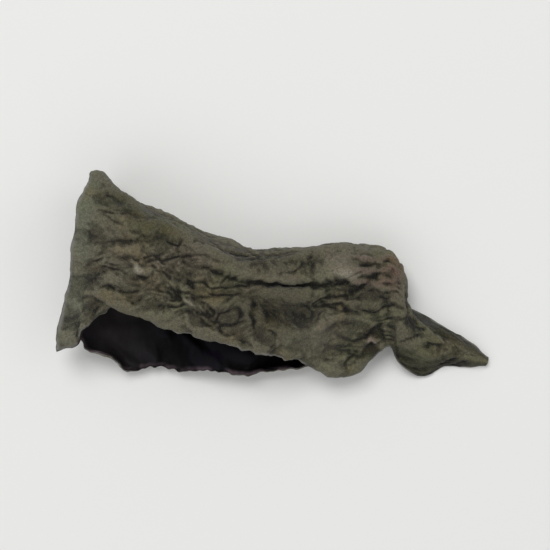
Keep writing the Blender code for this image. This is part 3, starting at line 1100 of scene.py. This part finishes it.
@dataclass
class FruitBody:
    """The whole mushroom as one closed mesh: outer skin, inner skin and the rounded rim between them."""

    name: str = "dried_fruit_body"
    sheet: Sheet = Sheet()
    wrinkles: Wrinkles = Wrinkles()
    # The outer grid's rows along the sheet and columns across it.
    rows: int = 321
    columns: int = 225
    # The papery rim: its thickness and run in mm, and the stations where the cut end is full again.
    rim_wall: float = 0.42
    rim_run: float = 0.9
    tip_stations: tuple[float, float] = (0.0, 0.04)
    least_wall: float = 0.10
    # The inner half wall's share in the tight fold, the rim's roundness, and the normals' blur in cells.
    tight_share: float = 0.35
    tight_stations: tuple[float, float] = (0.14, 0.32)
    rim_bulge: float = 0.9
    tail_bulge: float = 0.15
    normal_blur: int = 1
    inner_blur: int = 4
    # A flat place's convexity. Each scale adds (cells blurred over, full crest in mm, share).
    flat_crest: float = 0.5
    crest_scales: tuple[tuple[int, float, float], ...] = (
        (10, 0.51, 0.26),
        (5, 0.23, 0.12),
        (2, 0.12, 0.28),
    )
    # The tints of the outer side, with painted highlights and painted shade, and the inner side's painted
    # light.
    zones: tuple[Zone, ...] = (
        Zone(Stored.STRIP, (Mark(1.4, 58.5, -16.0, 3.2, 14.0),)),
        Zone(
            Stored.BLUSH,
            (
                Mark(0.8, 15.0, -3.6, 1.1, 2.3),
                Mark(0.6, 16.5, -15.0, 1.5, 1.3),
                *bent(0.7, 17.8, -4.10, 0.5),
                *bent(0.7, 17.6, -5.80, 0.5),
                *bent(0.7, 17.4, -7.40, 0.5),
                Mark(0.4, 40.5, -7.0, 2.5, 2.0),
            ),
        ),
        Zone(Stored.TAIL, (Mark(1.1, 0.0, 0.0, 9.0, 12.0),)),
        # A paler tone in places, and painted highlights and painted light elsewhere.
        Zone(
            Stored.PALE_AND_HIGHLIGHT,
            (
                Mark(0.24, 21.9, -5.4, 1.8, 1.4),
                Mark(0.90, 21.0, -6.5, 1.2, 0.50, 0.1),
                Mark(0.70, 47.5, -12.6, 0.5, 0.4),
                Mark(0.14, 21.4, -19.6, 1.6, 1.2),
                Mark(0.30, 24.5, -15.5, 4.0, 2.4),
                Mark(0.18, 58.0, -16.0, 2.5, 14.0),
                Mark(0.06, 48.0, -12.0, 5.0, 4.0),
                Mark(0.07, 28.6, -6.3, 5.6, 0.5, 0.06),
            ),
        ),
        # Painted light on part of the inner side.
        Zone(Stored.PAINTED_LIGHT, (Mark(0.9, 53.0, 20.0, 5.5, 8.0),)),
        # Painted shade.
        Zone(
            Stored.PAINTED_SHADE,
            (
                Mark(0.92, 30.5, -11.3, 4.8, 3.0),
                Mark(1.00, 16.3, -13.9, 2.4, 0.6, -0.66),
                Mark(1.00, 16.3, -16.6, 2.4, 0.7, -0.66),
                Mark(0.70, 9.8, -8.4, 2.4, 1.8),
                Mark(0.70, 48.5, -4.4, 6.5, 2.8),
                Mark(0.60, 30.0, -4.0, 6.0, 1.8),
                Mark(0.80, 28.2, -7.6, 5.8, 0.45, 0.06),
                Mark(0.42, 19.0, -10.0, 3.0, 2.0),
                Mark(0.25, 17.0, -5.0, 3.4, 3.0),
            ),
        ),
    )
    # The heights in mm at which the single marks get full painted highlight and full painted shade, and how
    # fast the highlight grows.
    full_marks: tuple[float, float] = (0.50, 0.30)
    pale_power: int = 2
    # The painted shade along the tail's two edges: where it ends, in mm, and the reaches that it lies
    # between.
    tail_end: tuple[float, float] = (9.0, 14.0)
    tail_under: tuple[float, float] = (0.10, 0.40)
    tail_slant: float = 0.045
    tail_over: tuple[float, float] = (0.10, 0.45)
    tail_shade: float = 1.0

    def half_wall(self, station: Array, reach: Array) -> Array:
        """Half the wall, thinned to a papery rim over the last part before the margin.

        Args:
            station: Stations of the places.
            reach: Reaches of the places.

        Returns:
            Half thicknesses in mm.
        """
        wall = self.sheet.wall(station, reach)
        rim = np.minimum(wall, self.rim_wall)
        thick = eased(0.0, self.rim_run, self.sheet.inset(station, reach))
        root = eased(*self.tip_stations, station) - eased(*self.sheet.root_stations, station)
        thick = thick + (1 - thick) * root
        return (rim + (wall - rim) * thick) / 2

    def crinkled_middle(self, station: Array, reach: Array) -> Array:
        """The middle of the wall, with its margins moved out of the wall and in the sheet.

        Args:
            station: Stations of the places.
            reach: Reaches of the places.

        Returns:
            Points in mm.
        """
        middle = self.sheet.middle(station, reach)
        out, sideways = self.wrinkles.crinkled(self.sheet, station, reach)
        away = unit(np.gradient(middle, axis=1)) * np.where(reach < 0, -1.0, 1.0)[..., None]
        return middle + facing_out(middle) * out[..., None] + away * sideways[..., None]

    def convexity(self, points: Array, normals: Array) -> Array:
        """How far each point stands out of its surroundings: 0 in creases and 1 on crests.

        Args:
            points: Grid of points in mm.
            normals: The surface's unit vectors out.

        Returns:
            The value of a flat place, plus for each scale its share of the height off the blurred
            surface over a full crest.
        """
        total = np.full(points.shape[:2], self.flat_crest)
        for cells, full, share in self.crest_scales:
            height = np.sum((points - blurred(points, cells)) * normals, axis=-1)
            total = total + share * height / full
        return np.clip(total, 0, 1)

    def build(self) -> bpy.types.Object:
        """Works out both skins and the rim as whole arrays, and puts them into one mesh.

        Returns:
            The object, at the origin, with its attributes and two material slots to fill.
        """
        share = np.meshgrid(np.linspace(0, 1, self.rows), np.linspace(-1, 1, self.columns), indexing="ij")
        station, reach = self.sheet.places(*share)
        middle = self.crinkled_middle(station, reach)
        outer, inner = self.skins(middle, station, reach)
        rim = self.rim_rings(border(outer), border(inner), border(middle), border(station))
        top = SkinGrid(*outer.shape[:2], start=0)
        below = SkinGrid(*inner.shape[:2], start=top.stop)
        points = np.concatenate([outer.reshape(-1, 3), inner.reshape(-1, 3), *rim])
        mesh = self.make_mesh(lifted(points), *self.faces(top, below))
        for stored, numbers in self.attributes(outer, inner, station, reach).items():
            attribute = mesh.attributes.new(stored.value, "FLOAT", "POINT")
            attribute.data.foreach_set("value", numbers.astype(np.float32))
        mesh.validate()
        fruit_body = bpy.data.objects.new(self.name, mesh)
        bpy.context.scene.collection.objects.link(fruit_body)
        LOG.info("%s: %d points, %d faces", self.name, len(mesh.vertices), len(mesh.polygons))
        return fruit_body

    def skins(self, middle: Array, station: Array, reach: Array) -> tuple[Array, Array]:
        """The two sides of the wall: its middle moved out and in by half the wall and the relief.

        Where the fold is tight, the inner side loses its relief and most of its half of the wall, so
        that the two flaps stay clear of each other.

        Args:
            middle: Grid of points in the middle of the wall, in mm.
            station: Stations of the places.
            reach: Reaches of the places.

        Returns:
            The points of the outer side and, on every other row and column, of the inner side, in mm.
        """
        normal = facing_out(middle)
        outward = unit(blurred(normal, self.normal_blur))
        inward = unit(blurred(normal, self.inner_blur))
        half = self.half_wall(station, reach)
        relief = self.wrinkles.outer(self.sheet, station, reach, middle, outward)
        outer_height = np.maximum(half + relief, self.least_wall)
        inner_relief = self.wrinkles.inner(self.sheet, station, reach, middle, inward)
        opened = eased(*self.tight_stations, station)
        inner_half = (half + inner_relief * opened) * (self.tight_share + (1 - self.tight_share) * opened)
        inner_height = np.maximum(inner_half, self.least_wall)
        outer = middle + outward * outer_height[..., None]
        inner = (middle - inward * inner_height[..., None])[COARSE, COARSE]
        return lifted(outer), lifted(inner)

    def rim_rings(self, outer: Array, inner: Array, middle: Array, station: Array) -> list[Array]:
        """Three rings that round the rim, from the outer side's border to the inner one's.

        A ring's point is the middle of the wall, plus half the wall times the cosine of the ring's
        angle towards its side, and times the sine and the bulge away from the sheet.

        Args:
            outer: The outer side's border, in mm.
            inner: The inner side's border, with half as many points, in mm.
            middle: The border of the wall's middle, in mm.
            station: Stations of that border.

        Returns:
            The points of the upper, the middle and the lower ring, which has half as many, in mm.
        """
        tangent = unit(np.roll(middle, -1, axis=0) - np.roll(middle, 1, axis=0))
        up = unit(outer - middle)
        down = unit(inner - outer[COARSE])
        away = unit(np.cross(tangent, up))
        opened = eased(*self.tight_stations, station)[:, None]
        away = away * (self.tail_bulge + (self.rim_bulge - self.tail_bulge) * opened)
        half = np.linalg.norm(outer - middle, axis=-1)[:, None]
        half_low = np.linalg.norm(inner - middle[COARSE], axis=-1)[:, None]
        cosine, sine = np.cos(RIM_ANGLE), np.sin(RIM_ANGLE)
        return [
            middle + half * (up * cosine + away * sine),
            middle + half * away,
            middle[COARSE] + half_low * (down * cosine + away[COARSE] * sine),
        ]

    def faces(self, top: SkinGrid, below: SkinGrid) -> tuple[list[Indices], list[Indices]]:
        """The mesh's faces in groups: each side's grid, and the bands of the rim that belong to it.

        Args:
            top: The outer side's grid.
            below: The inner side's grid, whose points follow.

        Returns:
            The groups with the outer side's finish, and those with the inner side's.
        """
        upper_edge, lower_edge = border(top.index), border(below.index)
        high = np.arange(len(upper_edge)) + below.stop
        mid = high + len(high)
        low = np.arange(len(lower_edge)) + mid[-1] + 1
        outer = [top.quads(False), band(upper_edge, high), band(high, mid)]
        return outer, [stitch(mid, low), band(low, lower_edge), below.quads(True)]

    def make_mesh(self, points: Array, outer: list[Indices], inner: list[Indices]) -> bpy.types.Mesh:
        """Puts points and faces into a mesh, with each side's faces in its own material slot.

        Args:
            points: All points, in mm.
            outer: The groups of faces with the outer side's finish.
            inner: Those with the inner side's.

        Returns:
            The mesh, in metres.
        """
        faces = sum((group.tolist() for group in outer + inner), [])
        mesh = bpy.data.meshes.new(self.name)
        mesh.from_pydata((points * MM).tolist(), [], faces)
        slots = np.full(len(faces), Skin.INNER.value, dtype=np.int32)
        slots[: sum(len(group) for group in outer)] = Skin.OUTER.value
        mesh.polygons.foreach_set("material_index", slots)
        mesh.shade_smooth()
        return mesh

    def attributes(
        self, outer: Array, inner: Array, station: Array, reach: Array
    ) -> dict[Stored, Array]:
        """What the finishes read: the convexity, the inset from the margin and the tints.

        Args:
            outer: The outer side's grid of points, in mm.
            inner: The inner side's grid of points, in mm.
            station: Stations of the outer side's places.
            reach: Reaches of the outer side's places.

        Returns:
            For each attribute its numbers, as the mesh's points follow.
        """
        along, across, _ = self.sheet.flat(station, reach)
        crest = self.convexity(outer, facing_out(outer)), self.convexity(inner, -facing_out(inner))
        fine = {Stored.INSET: self.sheet.inset(station, reach), **self.tints(along, across, reach)}
        spread = {stored: in_mesh_order(mask, mask[COARSE, COARSE]) for stored, mask in fine.items()}
        return {Stored.CREST: in_mesh_order(*crest), **spread}

    def tints(self, along: Array, across: Array, reach: Array) -> dict[Stored, Array]:
        """How strong each tint is: single marks get painted highlights on crests and painted shade in
        grooves.

        The tail's two edges get painted shade too, which fades out where the tail ends.

        Args:
            along: Distance along the flat sheet, in mm.
            across: Distance across the flat sheet, in mm.
            reach: Reaches of the places.

        Returns:
            For each tint its strengths, from 0 to 1.
        """
        single = self.wrinkles.single_marks(along, across)
        full_pale, full_shade = self.full_marks
        strengths = {zone.stored: zone.at(along, across) for zone in self.zones}
        # Painted shade along the tail's two edges.
        tail = 1 - eased(*self.tail_end, along)
        under = eased(*self.tail_under, -reach - self.tail_slant * along)
        over = eased(*self.tail_over, reach)
        strengths[Stored.PAINTED_SHADE] = strengths[Stored.PAINTED_SHADE] + self.tail_shade * tail * (under + over)
        # The single marks' crests get a painted highlight, and their grooves painted shade.
        pale = np.clip(single / full_pale, 0, 1) ** self.pale_power
        shade = np.clip(-single / full_shade, 0, 1)
        for stored, mark in ((Stored.PALE_AND_HIGHLIGHT, pale), (Stored.PAINTED_SHADE, shade)):
            strengths[stored] = np.clip(strengths[stored] + mark, 0, 1)
        return strengths


class NodeTree:
    """Adds nodes to one node tree, with their inputs given as values or as other nodes' sockets."""

    def __init__(self, tree: bpy.types.NodeTree) -> None:
        """Keeps the tree that the nodes are added to."""
        self.tree = tree

    def fill(self, node: bpy.types.Node, inputs: Inputs) -> None:
        """Sets a node's inputs.

        Args:
            node: The node.
            inputs: For each input's name or number, a value to set or a socket to link.
        """
        for name, value in inputs.items():
            if isinstance(value, bpy.types.NodeSocket):
                self.tree.links.new(value, node.inputs[name])
            else:
                node.inputs[name].default_value = value

    def add(self, kind: str, inputs: Inputs | None = None, **settings: object) -> bpy.types.Node:
        """Adds one node.

        Args:
            kind: The node's type name.
            inputs: For each input's name or number, a value to set or a socket to link.
            settings: The node's own properties, which are set first.

        Returns:
            The new node.
        """
        node = self.tree.nodes.new(kind)
        for name, value in settings.items():
            setattr(node, name, value)
        self.fill(node, inputs or {})
        return node

    def math(self, operation: str, first: object, second: object) -> bpy.types.NodeSocket:
        """The result of one sum, product or the like."""
        return self.add("ShaderNodeMath", {0: first, 1: second}, operation=operation).outputs[0]

    def step(self, value: object, low: object, high: object) -> bpy.types.NodeSocket:
        """A soft step: 0 up to low and 1 from high on, or the other way round where low is the larger."""
        inputs = {"Value": value, "From Min": low, "From Max": high}
        return self.add("ShaderNodeMapRange", inputs, interpolation_type="SMOOTHSTEP").outputs["Result"]

    def mix(self, share: object, first: object, second: object, blend: str = "MIX") -> bpy.types.NodeSocket:
        """Two colours mixed by a share."""
        inputs = {MIX_SHARE: share, MIX_FIRST: first, MIX_SECOND: second}
        return self.add("ShaderNodeMix", inputs, data_type="RGBA", blend_type=blend).outputs[MIX_RESULT]

    def value_of(self, stored: Stored) -> bpy.types.NodeSocket:
        """One of the numbers that the mesh stores for each point."""
        return self.add("ShaderNodeAttribute", attribute_name=stored.value).outputs["Fac"]

    def place(self) -> bpy.types.NodeSocket:
        """The object's own coordinates, in metres."""
        return self.add("ShaderNodeTexCoord").outputs["Object"]

    def noise(self, scale: object, detail: float, roughness: float) -> bpy.types.NodeSocket:
        """Soft noise on the object's own coordinates, from 0 to 1."""
        inputs = {"Vector": self.place(), "Scale": scale, "Detail": detail, "Roughness": roughness}
        return self.add("ShaderNodeTexNoise", inputs).outputs["Fac"]

    def effect(self, effect: Effect, inputs: Inputs) -> bpy.types.Node:
        """Places a shared node group, with the material's own values."""
        return self.add("ShaderNodeGroup", inputs, node_tree=bpy.data.node_groups[effect.value])

    def bump(self, height: bpy.types.NodeSocket, distance: float) -> bpy.types.NodeSocket:
        """The normal of a fine relief whose full height is a distance in mm."""
        inputs = {"Height": height, "Strength": 1.0, "Distance": distance * MM}
        return self.add("ShaderNodeBump", inputs).outputs["Normal"]


class EffectGroup(NodeTree):
    """A shader node group with named sockets, to be filled with nodes."""

    def __init__(self, effect: Effect, inputs: dict[str, Socket], outputs: dict[str, Socket]) -> None:
        """Makes the group.

        Args:
            effect: Which effect it holds.
            inputs: The kind of each input, by name.
            outputs: The kind of each output, by name.
        """
        super().__init__(bpy.data.node_groups.new(effect.value, "ShaderNodeTree"))
        for way, sockets in (("INPUT", inputs), ("OUTPUT", outputs)):
            for name, kind in sockets.items():
                self.tree.interface.new_socket(name, in_out=way, socket_type=kind.value)
        self.given = self.add("NodeGroupInput").outputs
        self.end = self.add("NodeGroupOutput")

    def put_out(self, outputs: Inputs) -> None:
        """Links the group's outputs, by name."""
        self.fill(self.end, outputs)


def srgb(red: int, green: int, blue: int) -> Colour:
    """A colour given as a screen shows it, made linear.

    A share s of full brightness becomes ((s + 0.055) / 1.055)^2.4, or s / 12.92 up to 0.04045.

    Args:
        red: Red as a screen shows it, from 0 to 255.
        green: Green, in the same way.
        blue: Blue, in the same way.

    Returns:
        The colour's linear parts and full opacity.
    """
    shown = np.array([red, green, blue]) / 255.0
    linear = np.where(shown <= 0.04045, shown / 12.92, ((shown + 0.055) / 1.055) ** 2.4)
    return (*linear.tolist(), 1.0)


@dataclass(frozen=True)
class SharedEffects:
    """The node groups that both finishes use, each built once."""

    patch_detail: float = 3.0
    patch_roughness: float = 0.5
    flat_heights: tuple[float, float] = (0.10, 0.52)
    crest_heights: tuple[float, float] = (0.50, 1.00)
    soft_detail: float = 2.0
    soft_roughness: float = 0.6
    soft_share: float = 0.6
    sharp_scale: float = 2.6
    sharp_detail: float = 2.0
    sharp_roughness: float = 0.7
    sharp_share: float = 0.4
    tip_scale: float = 1.5
    tip_range: tuple[float, float] = (0.45, 0.05)
    tip_share: float = 0.25

    def build(self) -> None:
        """Builds the three groups."""
        self.build_patches()
        self.build_relief_tint()
        self.build_grain()

    def build_patches(self) -> None:
        """Soft blotches: a mask of noise between two levels."""
        inputs = {"Scale": Socket.NUMBER, "Low": Socket.NUMBER, "High": Socket.NUMBER}
        group = EffectGroup(Effect.PATCHES, inputs, {"Mask": Socket.NUMBER})
        level = group.noise(group.given["Scale"], self.patch_detail, self.patch_roughness)
        group.put_out({"Mask": group.step(level, group.given["Low"], group.given["High"])})

    def build_relief_tint(self) -> None:
        """Colours a relief: one colour in its creases, used as painted shade, one on its flats and one on
        its crests.
        """
        inputs = {"Height": Socket.NUMBER}
        inputs.update({name: Socket.COLOUR for name in ("Crease", "Flat", "Crest")})
        group = EffectGroup(Effect.RELIEF_TINT, inputs, {"Colour": Socket.COLOUR})
        given = group.given
        low = group.mix(group.step(given["Height"], *self.flat_heights), given["Crease"], given["Flat"])
        colour = group.mix(group.step(given["Height"], *self.crest_heights), low, given["Crest"])
        group.put_out({"Colour": colour})

    def build_grain(self) -> None:
        """A dense fine grain: noise of two scales, and small round tips from the cells of a third."""
        outputs = {"Height": Socket.NUMBER, "Tips": Socket.NUMBER}
        group = EffectGroup(Effect.GRAIN, {"Scale": Socket.NUMBER}, outputs)
        scale = group.given["Scale"]
        sharp_scale = group.math("MULTIPLY", scale, self.sharp_scale)
        soft = group.noise(scale, self.soft_detail, self.soft_roughness)
        sharp = group.noise(sharp_scale, self.sharp_detail, self.sharp_roughness)
        cell_inputs = {"Vector": group.place(), "Scale": group.math("MULTIPLY", scale, self.tip_scale)}
        cells = group.add("ShaderNodeTexVoronoi", cell_inputs)
        tips = group.step(cells.outputs["Distance"], *self.tip_range)
        soft_part = group.math("MULTIPLY", soft, self.soft_share)
        sharp_part = group.math("MULTIPLY", sharp, self.sharp_share)
        height = group.math("ADD", soft_part, sharp_part)
        height = group.math("ADD", height, group.math("MULTIPLY", tips, self.tip_share))
        group.put_out({"Height": height, "Tips": tips})


@dataclass(frozen=True)
class Blotches:
    """Soft blotches in a finish: how fine they are, and the levels of noise that they rise between."""

    scale: float
    low: float
    high: float

    def mask(self, tree: NodeTree) -> bpy.types.NodeSocket:
        """The blotches' mask, from 0 to 1."""
        inputs = {"Scale": self.scale, "Low": self.low, "High": self.high}
        return tree.effect(Effect.PATCHES, inputs).outputs["Mask"]


def start_material(name: str) -> tuple[bpy.types.Material, NodeTree, bpy.types.Node]:
    """A new material.

    Args:
        name: The material's name.

    Returns:
        The material, its node tree and its shader.
    """
    material = bpy.data.materials.new(name)
    material.use_nodes = True
    return material, NodeTree(material.node_tree), material.node_tree.nodes["Principled BSDF"]


@dataclass(frozen=True)
class FeltFinish:
    """The outer side: dull grey-brown felt, dusty pale on the crests, with painted shade in the creases.

    The rim's colour, a painted highlight, starts at the first of the rim's insets and is full at the
    second, in mm from the margin.
    """

    name: str = "outer_felt"
    # The crease colour is painted shade in the creases.
    crease: Colour = srgb(27, 25, 18)
    flat: Colour = srgb(66, 63, 51)
    crest: Colour = srgb(97, 93, 78)
    # The rim's colour is a painted highlight along the margin.
    rim: Colour = srgb(123, 121, 115)
    # The pale colour is a paler tone in places and painted highlights elsewhere.
    pale: Colour = srgb(134, 129, 114)
    dust: Colour = srgb(124, 119, 103)
    blotches: tuple[tuple[Blotches, Colour], ...] = (
        # Olive, brown and mauve.
        (Blotches(130.0, 0.42, 0.66), (0.94, 1.01, 0.85, 1.0)),
        (Blotches(210.0, 0.50, 0.70), (1.09, 0.99, 0.86, 1.0)),
        (Blotches(260.0, 0.54, 0.70), (1.06, 0.96, 1.06, 1.0)),
    )
    tints: tuple[tuple[Stored, Colour], ...] = (
        (Stored.STRIP, (0.97, 1.07, 1.09, 1.0)),
        (Stored.BLUSH, (1.16, 0.88, 1.06, 1.0)),
        (Stored.TAIL, (0.95, 0.96, 0.88, 1.0)),
        # Painted shade.
        (Stored.PAINTED_SHADE, (0.34, 0.34, 0.27, 1.0)),
    )
    uneven: Blotches = Blotches(700.0, 0.35, 0.65)
    uneven_level: float = 0.5
    uneven_height: float = 0.16
    # Breaks the rim's colour up in patches.
    patchy_rim: Blotches = Blotches(420.0, 0.34, 0.62)
    rim_insets: tuple[float, float] = (0.38, 0.05)
    grain_scale: float = 3000.0
    fleck_range: tuple[float, float] = (0.36, 0.72)
    fleck_dark: Colour = (0.72, 0.72, 0.70, 1.0)
    fleck_pale: Colour = (1.34, 1.34, 1.32, 1.0)
    dust_share: float = 0.14
    roughness: float = 0.95
    sheen: float = 0.10
    sheen_roughness: float = 0.5
    specular: float = 0.25
    bump_height: float = 0.20

    def make(self) -> bpy.types.Material:
        """Builds the felt's material.

        Returns:
            A material that reads the mesh's crest, inset and tint attributes.
        """
        material, tree, shader = start_material(self.name)
        grain = tree.effect(Effect.GRAIN, {"Scale": self.grain_scale})
        # A paler tone in places, with painted highlights.
        colour = tree.mix(tree.value_of(Stored.PALE_AND_HIGHLIGHT), self.relief_colour(tree), self.pale)
        # The last tint is painted shade.
        for stored, tint in self.tints:
            colour = tree.mix(tree.value_of(stored), colour, tint, "MULTIPLY")
        fleck = tree.step(grain.outputs["Height"], *self.fleck_range)
        colour = tree.mix(1.0, colour, tree.mix(fleck, self.fleck_dark, self.fleck_pale), "MULTIPLY")
        # A painted highlight along the margin, broken up in patches.
        rim = tree.step(tree.value_of(Stored.INSET), *self.rim_insets)
        colour = tree.mix(tree.math("MULTIPLY", rim, self.patchy_rim.mask(tree)), colour, self.rim)
        dust = tree.math("MULTIPLY", grain.outputs["Tips"], self.dust_share)
        surface = {
            "Base Color": tree.mix(dust, colour, self.dust),
            "Roughness": self.roughness,
            "Sheen Weight": self.sheen,
            "Sheen Roughness": self.sheen_roughness,
            "Specular IOR Level": self.specular,
            "Normal": tree.bump(grain.outputs["Height"], self.bump_height),
        }
        tree.fill(shader, surface)
        return material

    def relief_colour(self, tree: NodeTree) -> bpy.types.NodeSocket:
        """The colour of creases, as painted shade, of flats and of crests, with fine unevenness and wide
        blotches.

        Args:
            tree: The material's node tree.

        Returns:
            The colour.
        """
        uneven = tree.math("SUBTRACT", self.uneven.mask(tree), self.uneven_level)
        uneven = tree.math("MULTIPLY", uneven, self.uneven_height)
        height = tree.math("ADD", tree.value_of(Stored.CREST), uneven)
        shades = {"Height": height, "Crease": self.crease, "Flat": self.flat, "Crest": self.crest}
        colour = tree.effect(Effect.RELIEF_TINT, shades).outputs["Colour"]
        for blotches, tint in self.blotches:
            colour = tree.mix(blotches.mask(tree), colour, tint, "MULTIPLY")
        return colour


@dataclass(frozen=True)
class SkinFinish:
    """The inner side: nearly black, tinted purple, with a soft gloss where the purple is weak.

    The rim's colour starts at the first of the rim's insets and is full at the second, in mm from the
    margin.
    """

    name: str = "inner_skin"
    # The crease colour is painted shade in the creases.
    crease: Colour = srgb(5, 4, 5)
    flat: Colour = srgb(9, 8, 11)
    # The crest colour is a painted highlight on the wrinkles.
    crest: Colour = srgb(21, 19, 24)
    purple: Colour = srgb(15, 11, 22)
    red: Colour = srgb(22, 13, 17)
    # Painted light on part of the inner side.
    worn: Colour = srgb(48, 45, 45)
    rim: Colour = srgb(84, 72, 78)
    purple_blotches: Blotches = Blotches(160.0, 0.42, 0.62)
    red_blotches: Blotches = Blotches(240.0, 0.52, 0.68)
    red_share: float = 0.7
    patchy_rim: Blotches = Blotches(380.0, 0.36, 0.66)
    rim_insets: tuple[float, float] = (0.8, 0.1)
    grain_scale: float = 1800.0
    roughness: tuple[float, float] = (0.50, 0.72)
    specular: float = 0.06
    bump_height: float = 0.03

    def make(self) -> bpy.types.Material:
        """Builds the inner skin's material.

        Returns:
            A material that reads the mesh's crest, painted light and inset attributes.
        """
        material, tree, shader = start_material(self.name)
        purple = self.purple_blotches.mask(tree)
        red = tree.math("MULTIPLY", self.red_blotches.mask(tree), self.red_share)
        flat = tree.mix(red, tree.mix(purple, self.flat, self.purple), self.red)
        crest = tree.value_of(Stored.CREST)
        shades = {"Height": crest, "Crease": self.crease, "Flat": flat, "Crest": self.crest}
        colour = tree.effect(Effect.RELIEF_TINT, shades).outputs["Colour"]
        # Painted light on part of the inner side.
        colour = tree.mix(tree.value_of(Stored.PAINTED_LIGHT), colour, self.worn)
        rim = tree.step(tree.value_of(Stored.INSET), *self.rim_insets)
        colour = tree.mix(tree.math("MULTIPLY", rim, self.patchy_rim.mask(tree)), colour, self.rim)
        least, most = self.roughness
        gloss = tree.add("ShaderNodeMapRange", {"Value": purple, "To Min": least, "To Max": most})
        grain = tree.effect(Effect.GRAIN, {"Scale": self.grain_scale})
        surface = {
            "Base Color": colour,
            "Roughness": gloss.outputs["Result"],
            "Specular IOR Level": self.specular,
            "Normal": tree.bump(grain.outputs["Height"], self.bump_height),
        }
        tree.fill(shader, surface)
        return material


@dataclass(frozen=True)
class Lamp:
    """One soft square light: where it stands, seen from the object, in degrees and metres, and its power.

    Its azimuth is the angle on plan from +Y towards +X, and its elevation the angle up from the plan.
    """

    azimuth: float
    elevation: float
    distance: float
    size: float
    power: float

    def make(self, name: str, aim: Vector) -> None:
        """Adds the light, turned towards the aim.

        Args:
            name: The light's name.
            aim: The point that it faces.
        """
        light = bpy.data.lights.new(name, "AREA")
        light.size = self.size
        light.energy = self.power
        lamp = bpy.data.objects.new(name, light)
        turn, rise = np.radians(self.azimuth), np.radians(self.elevation)
        way = Vector((np.sin(turn) * np.cos(rise), np.cos(turn) * np.cos(rise), np.sin(rise)))
        lamp.location = aim + way * self.distance
        lamp.rotation_euler = (-way).to_track_quat("-Z", "Y").to_euler()
        bpy.context.scene.collection.objects.link(lamp)


@dataclass(frozen=True)
class Studio:
    """A plain pale floor, soft light from the object's far side, and a camera straight above."""

    floor_size: float = 3.0
    floor_colour: Colour = srgb(232, 232, 230)
    floor_roughness: float = 0.8
    sky_colour: Colour = (1.0, 1.0, 1.0, 1.0)
    sky_strength: float = 0.38
    lamps: tuple[Lamp, ...] = (
        Lamp(-25.0, 62.0, 0.90, 0.44, 4.3),
        Lamp(70.0, 40.0, 1.00, 0.60, 0.88),
        Lamp(-120.0, 45.0, 1.00, 0.60, 0.88),
        Lamp(180.0, 50.0, 1.00, 0.80, 1.20),
    )
    # The camera: its lens and sensor in mm, and the share of the frame's width that the object fills.
    lens: float = 100.0
    sensor: float = 36.0
    fill_share: float = 0.80

    def make(self, low: Vector, high: Vector) -> None:
        """Builds the floor, the lights and the camera round the object's box.

        Args:
            low: The box's lowest corner.
            high: The box's highest corner.
        """
        centre = (low + high) / 2
        self.make_floor()
        self.make_sky()
        for number, lamp in enumerate(self.lamps):
            lamp.make(f"lamp_{number}", centre)
        self.make_camera(centre, high.x - low.x)
        bpy.context.scene.view_settings.view_transform = "Standard"

    def make_floor(self) -> None:
        """A large flat plane under the object."""
        bpy.ops.mesh.primitive_plane_add(size=self.floor_size)
        floor = bpy.context.object
        floor.name = "floor"
        material, tree, shader = start_material("pale_floor")
        tree.fill(shader, {"Base Color": self.floor_colour, "Roughness": self.floor_roughness})
        floor.data.materials.append(material)
        floor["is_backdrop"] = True

    def make_sky(self) -> None:
        """Even white light from all round."""
        world = bpy.data.worlds.new("soft_sky")
        world.use_nodes = True
        light = {"Color": self.sky_colour, "Strength": self.sky_strength}
        NodeTree(world.node_tree).fill(world.node_tree.nodes["Background"], light)
        bpy.context.scene.world = world

    def make_camera(self, centre: Vector, width: float) -> None:
        """A long lens that looks straight down, so far up that the object fills its share of the frame.

        Args:
            centre: The middle of the object's box.
            width: The box's length along X, in metres.
        """
        data = bpy.data.cameras.new("camera")
        data.lens = self.lens
        data.sensor_width = self.sensor
        camera = bpy.data.objects.new("camera", data)
        distance = width / self.fill_share * self.lens / self.sensor
        camera.location = (centre.x, centre.y, centre.z + distance)
        bpy.context.scene.collection.objects.link(camera)
        bpy.context.scene.camera = camera


def main() -> None:
    """Builds the mushroom, dresses it, ties it to the frame and sets up the studio."""
    logging.basicConfig(level=logging.INFO, format="%(name)s: %(message)s")
    SharedEffects().build()
    fruit_body = FruitBody().build()
    fruit_body.data.materials.append(FeltFinish().make())
    fruit_body.data.materials.append(SkinFinish().make())
    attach(fruit_body, "root")
    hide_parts("wood_ear")
    Studio().make(*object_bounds())


if __name__ == "__main__":
    main()
